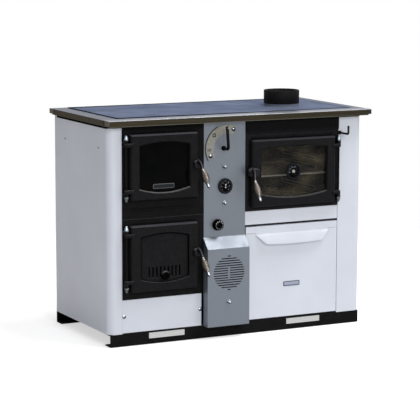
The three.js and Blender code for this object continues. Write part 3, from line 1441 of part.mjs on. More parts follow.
// Wood drawer: a folded front, its lip handle and the box behind.
const drawer = new THREE.Group();
stove.add(drawer);
const drawerX0 = frameLeft + drawerLeftGap;
const drawerX1 = frameRight;
function drawerFront() {
  const back = bodyFront + drawerFrontDepth;
  const tray = block(drawerX0, drawerX1, bodyFront, back, drawerBase, drawerTop);
  return tray.subtract(block(drawerX0 + sheet, drawerX1 - sheet, bodyFront + sheet, back + cutOver,
    drawerBase + sheet, drawerTop - sheet));
}
addPiece(drawer, 'drawer_front', drawerFront(), white);
function drawerHandle() {
  const [x0, x1] = [drawerX0 + lipLeft, drawerX1 - lipRight];
  const root = bodyFront - seat;
  const curve = new THREE.QuadraticBezierCurve(
    new THREE.Vector2(root, lipTop), new THREE.Vector2(root - lipReach, lipTop - lipDrop / 2),
    new THREE.Vector2(root - lipReach, lipTop - lipDrop));
  const front = curve.getPoints(lipSteps).map((p) => [p.x, p.y]);
  const back = front.map(([y, z]) => [Math.min(y + lipThickness, root), z]).reverse();
  const lip = plateX(outline([...front, ...back.slice(0, -1), [root, lipTop - lipThickness]]), x0, x1);
  const low = lipTop - lipDrop;
  const ends = outline([
    [x0, lipTop + cutOver], [x0, lipTop - 2 * lipThickness], [x0 + lipCorner, low - seat],
    [x1 - lipCorner, low - seat], [x1, lipTop - 2 * lipThickness], [x1, lipTop + cutOver],
  ]);
  return lip.intersect(plateY(ends, root - lipReach - cutOver, root + cutOver));
}
addPiece(drawer, 'drawer_handle', drawerHandle(), white);
function drawerBox() {
  const [x0, x1] = drawerBoxSpan();
  const y0 = bodyFront + drawerFrontDepth + seat;
  const [z0, z1] = [floorTop + seat, drawerTop - drawerBoxTopDrop];
  const w = drawerWall;
  const y1 = bodyBack - drawerBackGap;
  return block(x0, x1, y0, y1, z0, z1).subtract(
    block(x0 + w, x1 - w, y0 + w, y1 - w, z0 + w, z1 + cutOver));
}
addPiece(drawer, 'drawer_box', drawerBox(), galvanised);

// The origin is under the middle of the whole stove's box, on the floor.
const bounds = new THREE.Box3().setFromObject(stove);
const middle = bounds.getCenter(new THREE.Vector3());
stove.position.set(-middle.x, -middle.y, 0);
console.log(`box ${bounds.getSize(new THREE.Vector3()).toArray().map((v) => v.toFixed(2)).join(' x ')} mm`);
console.log(`the middle of the worktop is at x ${(-middle.x).toFixed(3)}, y ${(-middle.y).toFixed(3)}`);

export default stove;
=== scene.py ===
import json
import math

import bmesh
import bpy
import numpy as np
from mathutils import Matrix, Vector


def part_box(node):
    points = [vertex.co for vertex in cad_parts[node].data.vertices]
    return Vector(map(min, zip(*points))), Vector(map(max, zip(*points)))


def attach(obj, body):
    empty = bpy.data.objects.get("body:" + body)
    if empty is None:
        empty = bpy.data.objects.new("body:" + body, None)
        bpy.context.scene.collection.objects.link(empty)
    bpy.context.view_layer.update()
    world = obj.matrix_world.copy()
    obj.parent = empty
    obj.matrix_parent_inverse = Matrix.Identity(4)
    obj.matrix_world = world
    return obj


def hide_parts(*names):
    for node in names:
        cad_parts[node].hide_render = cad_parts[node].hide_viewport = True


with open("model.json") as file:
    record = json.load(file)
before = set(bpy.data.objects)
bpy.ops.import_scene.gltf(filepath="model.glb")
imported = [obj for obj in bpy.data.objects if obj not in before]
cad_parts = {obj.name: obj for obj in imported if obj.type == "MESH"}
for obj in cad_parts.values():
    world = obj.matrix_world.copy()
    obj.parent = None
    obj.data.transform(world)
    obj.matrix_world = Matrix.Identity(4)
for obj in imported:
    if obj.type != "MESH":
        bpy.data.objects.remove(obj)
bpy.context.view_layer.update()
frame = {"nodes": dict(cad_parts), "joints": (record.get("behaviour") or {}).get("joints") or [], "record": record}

mm = 0.001  # shapes are worked out in millimetres and stored in metres
tau = 2 * math.pi
depthShift = 28.757  # the worktop's middle lies this far behind the frame's origin
rightWay, backWay, upWay = np.eye(3)
frontWay = np.array([0, -1.0, 0])


# Small helpers

def boxOf(name):
    # lowest and highest corner of a CAD node, in millimetres
    return np.array(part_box(name)) / mm


def pivotOf(joint):
    # a joint's place, in millimetres
    return np.array(next(j["pos_m"] for j in frame["joints"] if j["name"] == joint)) / mm


def onFront(node, x, z, behind=0.0):
    # a point on a CAD node's front, or behind it, at the frame's x and z
    return np.array([x, boxOf(node)[0][1] + behind, z])


def disc(radius, low, high, crown=0.0):
    # profile of a flat disc from one height to another, its middle higher by crown
    return [(0, low), (radius, low), (radius, high), (0, high + crown)]


def unit(vectors):
    # vectors brought to length 1
    return vectors / np.linalg.norm(vectors, axis=-1, keepdims=True)


def angles(around, start=0.0):
    # even steps of one full turn
    return (np.arange(around) + start) / around * tau


def clockWay(degrees):
    # directions on the front at clock angles, from straight up
    a = np.radians(degrees)
    return np.stack([np.sin(a), 0 * a, np.cos(a)], -1)


def newObject(name, data):
    thing = bpy.data.objects.new(name, data)
    bpy.context.scene.collection.objects.link(thing)
    return thing


# Surfaces on a grid of two parameters

def wrapGrid(rows, closed=False):
    # rows of points round a shape; quads join each row to the next, and closed joins the last to the first
    count, around = rows.shape[:2]
    index = np.arange(count * around).reshape(count, around)
    near = index if closed else index[:-1]
    far = np.roll(index, -1, 0) if closed else index[1:]
    quads = np.stack([near, np.roll(near, -1, 1), np.roll(far, -1, 1), far], -1)
    return rows.reshape(-1, 3), quads.reshape(-1, 4)


def crossAxes(axis):
    # the axis as a unit direction, and two more square to it
    axis = unit(np.array(axis, float))
    side = unit(np.cross(axis, rightWay if abs(axis[0]) < 0.9 else upWay))
    return axis, side, np.cross(axis, side)


def turned(profile, centre, axis=frontWay, around=48, closed=False):
    # point = centre + r (cos t side + sin t over) + h axis, for each (r, h) of the profile and t all round
    axis, side, over = crossAxes(axis)
    t = angles(around)[:, None]
    r, h = np.array(profile, float).T[:, :, None, None]
    return wrapGrid(centre + r * (np.cos(t) * side + np.sin(t) * over) + h * axis, closed)


def faceTurned(centre, radius, height):
    # point = centre + (radius cos t, -height, radius sin t), where the radius of each row may change with t
    t = angles(radius.shape[1])
    rows = np.stack([radius * np.cos(t), 0 * radius - height, radius * np.sin(t)], -1)
    return wrapGrid(centre + rows)


def tube(path, sides, radius, around=16, flat=1.0):
    # ring = path + r (flat cos t across + sin t over), where across is sides made square to the path; the
    # ends close to points
    tangent = unit(np.gradient(path, axis=0))
    sides = np.broadcast_to(sides, path.shape)
    across = unit(sides - (sides * tangent).sum(-1, keepdims=True) * tangent)[:, None]
    over = np.cross(tangent[:, None], across)
    t = angles(around)[:, None]
    radius, flat = (np.broadcast_to(v, len(path))[:, None, None] for v in (radius, flat))
    rings = path[:, None] + radius * (flat * np.cos(t) * across + np.sin(t) * over)
    ends = np.repeat(path[[0, -1], None], around, 1)
    return wrapGrid(np.concatenate([ends[:1], rings, ends[1:]]))


def roundedRows(size, corner, profile, axis, around=64):
    # row k = rectangle with rounded corners, grown by out k, at height k along the axis square to it
    t = angles(around, 0.5)
    ways = np.stack([np.cos(t), np.sin(t)], -1)
    square = np.sign(ways) * (np.array(size) / 2 - corner)
    return np.array([np.insert(square + ways * (corner + out), axis, height, axis=1)
                     for out, height in profile])


def roundedRing(middle, size, corner, profile, axis):
    # a profile swept round a rectangle with rounded corners, each point (out, height)
    return wrapGrid(middle + roundedRows(size, corner, profile, axis), closed=True)


def roundedPlate(centre, size, corner, profile, around=32):
    # rounded rectangles shrunk by inset k and lifted forwards by lift k, closed at both middles
    rows = roundedRows(size, corner, [(-inset, -lift) for inset, lift in profile], 1, around)
    ends = rows[[0, -1]] * backWay
    return wrapGrid(centre + np.concatenate([ends[:1], rows, ends[1:]]))


def bars(centres, alongs, length, width, height, normal=frontWay):
    # a bar at each centre: corner = centre + a length along + b width across + c height normal, where a and
    # b are -1/2 or 1/2, and c is 0 or 1
    alongs = unit(np.array(alongs, float))[:, None]
    across = np.cross(normal, alongs)
    signs = np.array([[a, b, c] for c in (0, 1) for a, b in ((-1, -1), (1, -1), (1, 1), (-1, 1))]) / [2, 2, 1]
    a, b, c = signs.T[..., None]
    length = np.broadcast_to(length, len(alongs))[:, None, None]
    points = np.array(centres)[:, None] + a * length * alongs + b * width * across + c * height * normal
    one = np.array([[0, 3, 2, 1], [4, 5, 6, 7], [0, 1, 5, 4], [1, 2, 6, 5], [2, 3, 7, 6], [3, 0, 4, 7]])
    faces = one + 8 * np.arange(len(centres))[:, None, None]
    return points.reshape(-1, 3), faces.reshape(-1, 4)


def shapedBox(low, high):
    # a box from corner to corner, as one bar
    low, high = np.array(low, float), np.array(high, float)
    return bars([[*(low + high)[:2] / 2, low[2]]], [rightWay], *(high - low), upWay)


def bezier(points, steps):
    # cubic curve: the sum of four points, weighted by (1-t)^3, 3(1-t)^2 t, 3(1-t) t^2 and t^3
    t = np.linspace(0, 1, steps)[:, None]
    a, b, c, d = points
    return (1 - t) ** 3 * a + 3 * (1 - t) ** 2 * t * b + 3 * (1 - t) * t ** 2 * c + t ** 3 * d


def shallowArc(x0, x1, rise, steps):
    # arc over a chord, radius (half^2 + rise^2) / (2 rise): x along it, and the drop from its crown
    half = (x1 - x0) / 2
    bow = (half ** 2 + rise ** 2) / (2 * rise)
    a = np.linspace(-1, 1, steps) * math.asin(half / bow)
    return (x0 + x1) / 2 + bow * np.sin(a), bow * (1 - np.cos(a))


def flatText(words, size, centres, lift):
    # figures as thin solid letters on the front, each centred at its place
    points, faces, count = [], [], 0
    for word, centre in zip(words, centres):
        curve = bpy.data.curves.new("figure", "FONT")
        curve.body, curve.align_x, curve.align_y = word, "CENTER", "CENTER"
        curve.size, curve.extrude, curve.resolution_u = size, lift / 2, 3
        holder = newObject("figure", curve)
        bpy.context.view_layer.update()
        mesh = bpy.data.meshes.new_from_object(holder.evaluated_get(bpy.context.evaluated_depsgraph_get()))
        flat = np.zeros(len(mesh.vertices) * 3)
        mesh.vertices.foreach_get("co", flat)
        points.append(flat.reshape(-1, 3)[:, [0, 2, 1]] * [1, -1, 1] + centre - [0, lift / 2, 0])
        faces += [[count + v for v in p.vertices] for p in mesh.polygons]
        count += len(mesh.vertices)
        bpy.data.objects.remove(holder)
        bpy.data.meshes.remove(mesh)
    return np.concatenate(points), faces


def makePiece(name, shells, body, stands=(), bevel=0.0, smooth=True, sharp=40):
    # one object from shells of (points, faces, finish); doubles merged, faces turned outwards
    mesh = bpy.data.meshes.new(name)
    points, faces, used, slots, count = [], [], [], [], 0
    for shellPoints, shellFaces, finish in shells:
        if finish not in used:
            used.append(finish)
            mesh.materials.append(finish)
        points.append(shellPoints)
        faces += [[count + v for v in face] for face in np.asarray(shellFaces, object).tolist()]
        slots += [used.index(finish)] * len(shellFaces)
        count += len(shellPoints)
    mesh.from_pydata((np.concatenate(points) * mm).tolist(), [], faces)
    mesh.polygons.foreach_set("material_index", slots)
    work = bmesh.new()
    work.from_mesh(mesh)
    bmesh.ops.remove_doubles(work, verts=work.verts, dist=0.001 * mm)
    bmesh.ops.recalc_face_normals(work, faces=work.faces)
    work.to_mesh(mesh)
    work.free()
    mesh.polygons.foreach_set("use_smooth", [smooth] * len(mesh.polygons))
    piece = newObject(name, mesh)
    if bevel:
        edge = piece.modifiers.new("edge", "BEVEL")
        edge.width, edge.segments, edge.limit_method = bevel * mm, 2, "ANGLE"
        edge.angle_limit, edge.harden_normals = math.radians(sharp), True
    elif smooth:
        mesh.set_sharp_from_angle(angle=math.radians(sharp))
    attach(piece, body)
    if stands:
        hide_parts(*stands)


# Finishes. Each starts from the real coating or metal; patterns read Object coordinates in metres.

def linearColour(hexColour):
    # sRGB hex to linear red, green, blue, alpha
    srgb = np.array([int(hexColour[i:i + 2], 16) for i in (0, 2, 4)]) / 255
    linear = np.where(srgb <= 0.04045, srgb / 12.92, ((srgb + 0.055) / 1.055) ** 2.4)
    return (*linear.tolist(), 1.0)


def feed(socket, value):
    # a link from a socket or from a node's first output in use, or else a constant
    if isinstance(value, bpy.types.Node):
        value = next(output for output in value.outputs if output.enabled)
    if isinstance(value, bpy.types.NodeSocket):
        socket.id_data.links.new(value, socket)
    else:
        socket.default_value = value


def addNode(owner, kind, inputs=None, **settings):
    # one node of a finish or a world: its settings, then what its sockets are fed with
    node = owner.node_tree.nodes.new("ShaderNode" + kind)
    for name, value in settings.items():
        setattr(node, name, value)
    for name, value in (inputs or {}).items():
        feed(node.inputs[name], value)
    return node


def newFinish(name, **sockets):
    # a finish with its shader, ready for patterns; sockets are the shader's own constant values
    finish = bpy.data.materials.new(name)
    finish.use_nodes = True
    finish.node_tree.nodes.clear()
    shader = addNode(finish, "BsdfPrincipled", {k.replace("_", " "): v for k, v in sockets.items()})
    addNode(finish, "OutputMaterial", {"Surface": shader})
    addNode(finish, "TexCoord")
    return finish


def shaderInput(finish, socket):
    return finish.node_tree.nodes["Principled BSDF"].inputs[socket]


def coordsOf(finish):
    return finish.node_tree.nodes["Texture Coordinate"].outputs["Object"]


def twoTone(finish, factor, colours, span=(0.35, 0.65)):
    # the base colour goes from the first to the second as the pattern goes through the span
    ramp = addNode(finish, "ValToRGB", {"Fac": factor})
    for element, position, colour in zip(ramp.color_ramp.elements, span, colours):
        element.position, element.color = position, linearColour(colour)
    feed(shaderInput(finish, "Base Color"), ramp)


def roughen(finish, factor, low, high):
    # roughness from low to high with the pattern, which lies mostly between 0.3 and 0.7
    feed(shaderInput(finish, "Roughness"), addNode(finish, "MapRange", {
        "Value": factor, "From Min": 0.3, "From Max": 0.7, "To Min": low, "To Max": high}))


def relief(finish, heights, edge):
    # bumps one over the other, each (pattern, depth in mm), over edges that look rounded by edge mm
    under = {"Normal": addNode(finish, "Bevel", {"Radius": edge * mm}, samples=4)} if edge else {}
    for height, depth in heights:
        under = {"Normal": addNode(finish, "Bump", {"Height": height, "Distance": depth * mm, **under})}
    feed(shaderInput(finish, "Normal"), under["Normal"])


def noise(finish, grain, detail=2.0, stretch=None, roughness=0.5):
    # cloudy pattern whose lumps are about grain mm across, drawn out by stretch
    vector = coordsOf(finish)
    if stretch:
        vector = addNode(finish, "Mapping", {"Vector": vector, "Scale": stretch})
    return addNode(finish, "TexNoise", {"Vector": vector, "Scale": 1 / (grain * mm), "Detail": detail,
                                        "Roughness": roughness})


def cellShades(finish, size):
    # cells about size mm across, each with its own shade
    cells = addNode(finish, "TexVoronoi", {"Vector": coordsOf(finish), "Scale": 1 / (size * mm)})
    return addNode(finish, "SeparateColor", {"Color": cells.outputs["Color"]})


def facing(finish, way, start, end):
    # 0 to 1 as the face turns towards a way, the cosine going from start to end
    normal = addNode(finish, "NewGeometry").outputs["Normal"]
    along = addNode(finish, "VectorMath", {0: normal, 1: way}, operation="DOT_PRODUCT")
    return addNode(finish, "MapRange", {"Value": along, "From Min": start, "From Max": end})


def edgeWear(finish, width, flat=0.995, wornLit=0.88, level=0.15, upward=0.6):
    # 1 along edges within width mm that look upwards, where the rounded normal leaves the face's own: edges
    # painted lighter there are partly wear and partly a painted highlight from light above
    rounded = addNode(finish, "Bevel", {"Radius": width * mm}, samples=4)
    normal = addNode(finish, "NewGeometry").outputs["Normal"]
    same = addNode(finish, "VectorMath", {0: rounded, 1: normal}, operation="DOT_PRODUCT")
    edge = addNode(finish, "MapRange", {"Value": same, "From Min": flat, "From Max": wornLit})
    height = addNode(finish, "SeparateXYZ", {"Vector": rounded}).outputs["Z"]
    skyward = addNode(finish, "MapRange", {"Value": height, "From Min": level, "From Max": upward})
    return addNode(finish, "Math", {0: edge, 1: skyward}, operation="MULTIPLY")


def soot(finish, reach, alone):
    # 1 in corners closer than reach mm to another face, and 0 in the open; alone leaves other pieces out. It marks
    # where corners and gaps are painted darker, as painted shade
    clear = addNode(finish, "AmbientOcclusion", {"Distance": reach * mm}, samples=6,
                    only_local=alone).outputs["AO"]
    return addNode(finish, "MapRange", {"Value": clear, "From Min": 0.95, "From Max": 0.5})


def overlay(finish, factor, colour):
    # another colour, in hex or from a node, over the base colour, as far as factor says
    base = shaderInput(finish, "Base Color")
    over = linearColour(colour) if isinstance(colour, str) else colour
    feed(base, addNode(finish, "Mix", {"Factor": factor, "A": base.links[0].from_socket, "B": over},
                       data_type="RGBA"))


def coat(name, colours, clouds, gloss=None, bumps=(), edge=0.0, span=(0.35, 0.65), pattern=noise, **sockets):
    # two colours in clouds of (grain, detail), roughness in clouds of (grain, detail, low, high), and bumps
    # of (depth, grain, detail, stretch) over edges rounded by edge mm
    finish = newFinish(name, **sockets)
    twoTone(finish, pattern(finish, *clouds), colours, span)
    if gloss:
        roughen(finish, noise(finish, *gloss[:2]), *gloss[2:])
    relief(finish, [(noise(finish, *bump[1:]), bump[0]) for bump in bumps], edge)
    return finish


# settings for blacked castings: the span of the painted highlight on upward faces, the width of worn and lit
# edges, the reach and colour of the painted shade in corners, and the blend, share and colour of the worktop's
# painted shadow above the header
castingLook = {"clouds": (14, 4), "gloss": (5, 3, 0.42, 0.6), "bumps": [(0.1, 30, 1), (0.05, 1.3, 3)],
               "edge": 1.8, "topSheenSpan": (0.35, 0.6), "wornLitWidth": 4.0, "soot": 16, "cornerShadeColour": "040405",
               "headerBlend": 6, "overhangShadowShare": 0.8, "overhangShadowColour": "060607"}


def castingBlack(name, colours, shine=0.04, wornLit="5a595f", alone=True, header=None, topSheen="38373c"):
    # grey iron cast in sand and stove-blacked: grain of about 1 mm, a slow waviness, upward slopes lighter as a
    # painted highlight, their edges lighter from wear and painted highlight, corners darker as painted shade;
    # above the header's height darker as the worktop's painted shadow
    c = castingLook
    finish = coat(name, colours, c["clouds"], c["gloss"], c["bumps"], c["edge"], IOR=1.5,
                  Specular_IOR_Level=shine)
    # painted highlight: faces turning upwards lighter, as if lit from above
    overlay(finish, facing(finish, upWay, *c["topSheenSpan"]), topSheen)
    # edges looking upwards lighter: partly wear, partly painted highlight
    overlay(finish, edgeWear(finish, c["wornLitWidth"]), wornLit)
    # painted shade: corners, recesses and gaps darkened
    overlay(finish, soot(finish, c["soot"], alone), c["cornerShadeColour"])
    # painted shadow of the worktop's overhang: darker above the header's height
    if header:
        height = addNode(finish, "SeparateXYZ", {"Vector": coordsOf(finish)}).outputs["Z"]
        above = addNode(finish, "MapRange", {"Value": height, "From Min": (header - c["headerBlend"]) * mm,
                                             "From Max": (header + c["headerBlend"]) * mm,
                                             "To Max": c["overhangShadowShare"]})
        overlay(finish, above, c["overhangShadowColour"])
    return finish


def mattBlack(name, colours, shine):
    # black stove paint on sheet steel, brushed on thinly: dull, with faint dust, and edges looking upwards
    # lighter, partly scuffs and partly a painted highlight
    finish = coat(name, colours, (40, 4), (8, 3, 0.55, 0.72), [(0.04, 2.2, 2)], 0.8, IOR=1.5,
                  Specular_IOR_Level=shine)
    # edges looking upwards lighter: partly scuffs, partly painted highlight
    overlay(finish, edgeWear(finish, 0.8), "3a393b")
    return finish


# colours of the stainless rim: the dark brown and the pale top are a painted reflection, and the palest band along
# the front of the top is a painted highlight
rimLook = {
    "mirrored": ("332e26", "4d473a"), "streaks": (9, 3, (0.03, 0.5, 1.0)), "gloss": (0.24, 0.34),
    "lines": (0.8, 2, (0.02, 1.0, 1.0)), "lineDepth": 0.001, "edge": 0.8,
    "topColours": ("d0d4da", "8a8f9a"), "top": [("down", 1.6, 0.2)], "behind": [("back", 25, 85)],
    "bands": [
        ("6d6455", 0.75, [("side", 1.01, 1)]),  # the sides are painted a paler brown, part of the painted reflection
        ("8a8378", 0.75, [("end", 45.01, 45), ("side", 1.01, 1)]),  # the caps are paler still
        ("6a768d", 1.0, [("right", 47, 45), ("back", 80, 150), ("down", 1.6, 0.2)]),  # bluer on the right part of the top
        ("0c0b0a", 1.0, [("end", 48.51, 48.5), ("end", 41.49, 41.5), ("side", 1.01, 1)]),  # dark cap joints
        ("7b7a6d", 0.6, [("up", 2.21, 2.2)])]}  # the lip underneath


def polishedRim():
    # stainless strip, drawn and polished lengthways: its base colour painted dark brown as a painted reflection of
    # the room, and pale on top as a painted reflection of the sky
    r = rimLook
    finish = newFinish("polished_stainless_strip", Metallic=1.0, Specular_Tint=linearColour("b4b5bb"))
    low, high = boxOf("worktop_rim")
    middle, half = (low[1] + high[1]) / 2, (high[1] - low[1]) / 2
    x, y, z = addNode(finish, "SeparateXYZ", {"Vector": coordsOf(finish)}).outputs
    depth = addNode(finish, "Math", {0: y, 1: middle * mm}, operation="SUBTRACT")
    side, end = (addNode(finish, "Math", {0: value}, operation="ABSOLUTE") for value in (x, depth))
    faces = {"side": (side, high[0], -1), "right": (x, high[0], -1), "end": (end, half, -1),
             "back": (y, low[1], 1), "down": (z, high[2], -1), "up": (z, low[2], 1)}

    def within(limits, most=1.0):
        # product of ramps, each from 0 to 1 between two distances in mm from a face
        factor = None
        for name, start, stop in limits:
            value, face, sign = faces[name]
            ramp = addNode(finish, "MapRange", {"Value": value, "From Min": (face + sign * start) * mm,
                                                "From Max": (face + sign * stop) * mm, "To Max": most})
            factor = addNode(finish, "Math", {0: factor, 1: ramp}, operation="MULTIPLY") if factor else ramp
            most = 1.0
        return factor

    # painted reflection: streaked dark brown all over, the pale top over it, then the bands
    streak = noise(finish, *r["streaks"])
    twoTone(finish, streak, r["mirrored"], (0, 1))
    near, far = (linearColour(colour) for colour in r["topColours"])
    above = addNode(finish, "Mix", {"Factor": within(r["behind"]), "A": near, "B": far}, data_type="RGBA")
    overlay(finish, within(r["top"]), above)
    for colour, strength, limits in r["bands"]:
        overlay(finish, within(limits, strength), colour)
    roughen(finish, streak, *r["gloss"])
    relief(finish, [(noise(finish, *r["lines"]), r["lineDepth"])], r["edge"])
    return finish


platedLook = {"sky": (0.12, -0.38, 0.92), "span": (0.1, 0.62), "clouds": (6, 3), "tumbled": (2, 2),
              "depth": 0.006}


def platedMetal(name, colours, gloss, edge=0.5, rim="5a606a"):
    # steel with bright plate, tumbled: base colour painted light on faces turned to the sky and dark on faces
    # turned from it, a painted reflection
    p = platedLook
    finish = newFinish(name, Metallic=1.0, Specular_Tint=linearColour(rim))
    normal = addNode(finish, "NewGeometry").outputs["Normal"]
    skyward = addNode(finish, "VectorMath", {0: normal, 1: p["sky"]}, operation="DOT_PRODUCT")
    # painted reflection: lighter the more the face turns to the sky
    twoTone(finish, skyward, colours, p["span"])
    roughen(finish, noise(finish, *p["clouds"]), *gloss)
    relief(finish, [(noise(finish, *p["tumbled"]), p["depth"])], edge)
    return finish


def glass(name, colours, streaks, shine, cover=1.0, dullest=0.14, span=(0.35, 0.65)):
    # rolled or drawn glass: a thin tinted veil, with streaks on it of soot and grease, and on the oven's glass of
    # painted reflection too
    return coat(name, colours, streaks, (45, 3, 0.05, dullest), [(0.02, 60, 1)], span=span,
                IOR=1.5, Alpha=cover, Specular_IOR_Level=shine)


def zincSheet():
    # hot-dip zinc on steel sheet: spangle crystals about 12 mm across, each with its own grey and gloss
    finish = coat("hot_dip_zinc_sheet", ("8c9195", "b4b8bc"), (12,), None, [(0.02, 3, 2)], 0.8, (0, 1),
                  cellShades, Metallic=1.0)
    roughen(finish, cellShades(finish, 12), 0.34, 0.5)
    return finish


def paint(name, dark, light, roughness, shine=0.3):
    # paint or ink in one flat colour with a faint unevenness, brushed on thinly or screened on a dial
    return coat(name, (dark, light), (6, 2), None, [(0.006, 0.8, 2)],
                Roughness=roughness, IOR=1.5, Specular_IOR_Level=shine)


def ropeSeal():
    # knitted glass-fibre door seal: grey, stitches 3 mm apart
    finish = newFinish("knitted_glass_fibre", Roughness=0.9, Sheen_Weight=0.3)
    stitch = addNode(finish, "TexVoronoi", {"Vector": coordsOf(finish), "Scale": 1 / (3 * mm)})
    twoTone(finish, stitch, ("77746d", "45433f"), (0.1, 0.8))
    relief(finish, [(stitch, 0.4)], 0)
    return finish


finishes = {
    # white stove enamel, sprayed and fired: smooth gloss with a faint orange peel some 4 mm across
    "white_enamel": coat("fired_white_enamel", ("cdd1db", "d2d6e0"), (180,), (25, 2, 0.3, 0.38),
                         [(0.03, 4.5, 1)], 0.4, IOR=1.5),
    # grey stove paint with fine metal flakes, sprayed: satin, flakes drawn 0.8 mm wide so that they show
    "grey_paint": coat("sprayed_grey_flake_paint", ("737982", "7d838c"), (0.8,), (30, 2, 0.36, 0.46),
                       [(0.015, 2.5, 1)], 0.4, (0, 1), cellShades, IOR=1.5, Metallic=0.55),
    "cast_iron": castingBlack("stove_blacked_cast_iron", ("171718", "1c1c1e")),
    "black_paint": mattBlack("matt_black_stove_paint", ("111011", "181718"), 0.08),
    "rim_steel": polishedRim(),
    # steel hob plate, ground across and blued by heat: fine lines along x, cloudy blue-grey
    "hob_steel": coat("ground_blued_steel_plate", ("60687b", "737b8f"), (120, 4), (60, 4, 0.56, 0.66),
                      [(0.012, 0.9, 2, (0.015, 1, 1))], 1.2, Metallic=1.0,
                      Specular_Tint=linearColour("a3abbc")),
    "chrome": platedMetal("bright_nickel_plate", ("2e333b", "c0c8d2"), (0.14, 0.24)),
    "coil_wire": platedMetal("plated_spring_wire", ("5d5650", "a59d95"), (0.24, 0.38), 0),
    "stove_glass": glass("sooted_ceramic_glass", ("020303", "060606"), (70, 3), 0.03, dullest=0.16),
    # hot-rolled boiler plate, welded and bare: mill scale in grey-brown patches with a little rust
    "boiler_plate": coat("rolled_boiler_plate", ("3c3b3a", "58544f"), (35, 6), (12, 4, 0.55, 0.8),
                         [(0.08, 5, 4)], 1.0, Metallic=0.4),
    "galvanised": zincSheet(),
    # pressed and fired fire clay: sandy buff with darker specks of 2 mm and a rough face
    "fire_brick": coat("pressed_fire_clay", ("a8926c", "cdb88f"), (2.5, 5), None, [(0.4, 20, 3), (0.2, 2, 4)],
                       1.5, Roughness=0.95),
    # black phenolic moulding: fine sparked texture, low gloss
    "black_plastic": coat("moulded_black_phenolic", ("0f1011", "151617"), (12, 3), (5, 2, 0.34, 0.48),
                          [(0.015, 0.7, 2)], 0.5, IOR=1.5, Specular_IOR_Level=0.12),
    "pointer_paint": paint("white_pointer_paint", "d4d7da", "dfe2e5", 0.4),
}
# tinned scale plate of the regulator: pale warm grey, satin
scalePlate = coat("satin_tinned_scale", ("85847b", "919087"), (9, 3), (4, 2, 0.38, 0.5),
                  [(0.01, 1, 2, (0.1, 1, 1))], 0.5, Metallic=0.35)
# ground-coat oven enamel on sheet steel: glossy dark brown-grey with pale flecks of 1.5 mm
ovenInside = coat("flecked_oven_enamel", ("5d574a", "a79d84"), (2.0, 2), (20, 3, 0.18, 0.3), [(0.04, 5, 2)],
                  1.5, (0.55, 0.72), IOR=1.5, Specular_IOR_Level=0.6)
sealRope = ropeSeal()
# the oven frame and fire front darken above their header height as the worktop's painted shadow; these fronts also
# take painted shade from the doors and pieces beside them
frameBlack = castingBlack("stove_blacked_oven_frame", ("1a191b", "201f22"), wornLit="2c2b2e", alone=False,
                          header=777)
fireFrontBlack = castingBlack("stove_blacked_fire_front", ("101011", "151516"), wornLit="161617", alone=False,
                              header=806)
# painted highlight: the fire door's upward faces brighter than on the other castings
fireDoorBlack = castingBlack("stove_blacked_fire_door", ("171718", "1c1c1e"), topSheen="55545a")
ashFrontBlack = castingBlack("stove_blacked_ash_front", ("121213", "171718"), wornLit="4a494e", alone=False)
# painted highlight: the air knob's upward faces and top edges light on a black face
airIron = castingBlack("blacked_air_knob", ("060607", "0a0a0b"), 0.0, "5a5a5e", False, topSheen="5a5a5e")
hubIron = castingBlack("blacked_handle_hub", ("131315", "19191b"), 0.06, "4c4b52", False)
# painted highlight: the hub's upper side lighter, as lit from above
overlay(hubIron, facing(hubIron, (0, -0.3, 0.95), 0.2, 0.9), "504f56")
armIron = castingBlack("blacked_lever_arm", ("0b0b0c", "101011"), alone=False)
# painted highlight: a light line along the lever's ridge that faces forwards
overlay(armIron, facing(armIron, (-0.2, -0.95, 0.24), 0.88, 0.98), "66656c")
skidBlack = mattBlack("sooty_black_skid_paint", ("101011", "151516"), 0.05)
darkSteel = platedMetal("oiled_dark_steel", ("2a2928", "3c3b3a"), (0.35, 0.5), rim="1c1c1c")
hingeNickel = platedMetal("weathered_nickel_nut", ("59625f", "a3adb8"), (0.22, 0.34))
nutNickel = platedMetal("dulled_nickel_nut", ("59636e", "c0c8d2"), (0.16, 0.26))
ferruleSteel = platedMetal("dulled_nickel_ferrule", ("3a3834", "aaa69e"), (0.34, 0.46))
labelMetal = platedMetal("brushed_label_aluminium", ("8d92a6", "b4b9cc"), (0.3, 0.42))
# brown oven glass: streaks from dark to pale brown, partly grease and partly a painted reflection of the room
ovenGlass = glass("brown_oven_glass", ("040403", "544d3c"), (58, 4, (0.6, 1.0, 1.25), 0.5), 0.3, 0.3,
                  span=(0.44, 0.7))
lensGlass = glass("dial_lens_glass", ("040505", "080909"), (60, 3), 0.02, 0.12)
# nickel wire of the rack and runners drawn as pale flat paint, a painted highlight standing for its shine
rackWire = paint("nickel_rack_wire_painted_highlight", "c4c1b7", "d2cfc5", 0.45)
rodBlack = paint("black_rod_paint", "0b0b0c", "101011", 0.5, 0.06)
deadBlack = paint("dead_black_lacquer", "050506", "08080a", 0.8, 0.0)
neckGrey = paint("smoked_grey_neck_paint", "565c69", "626875", 0.6, 0.1)
tipSteel = paint("worn_rod_tip", "8d8e90", "9a9b9d", 0.4)
# painted highlight along the lower edge of each window
archHighlight = paint("painted_window_edge_highlight", "78746e", "85817a", 0.45)
dullScrew = paint("greyed_screw_head", "63656a", "6e7076", 0.5)
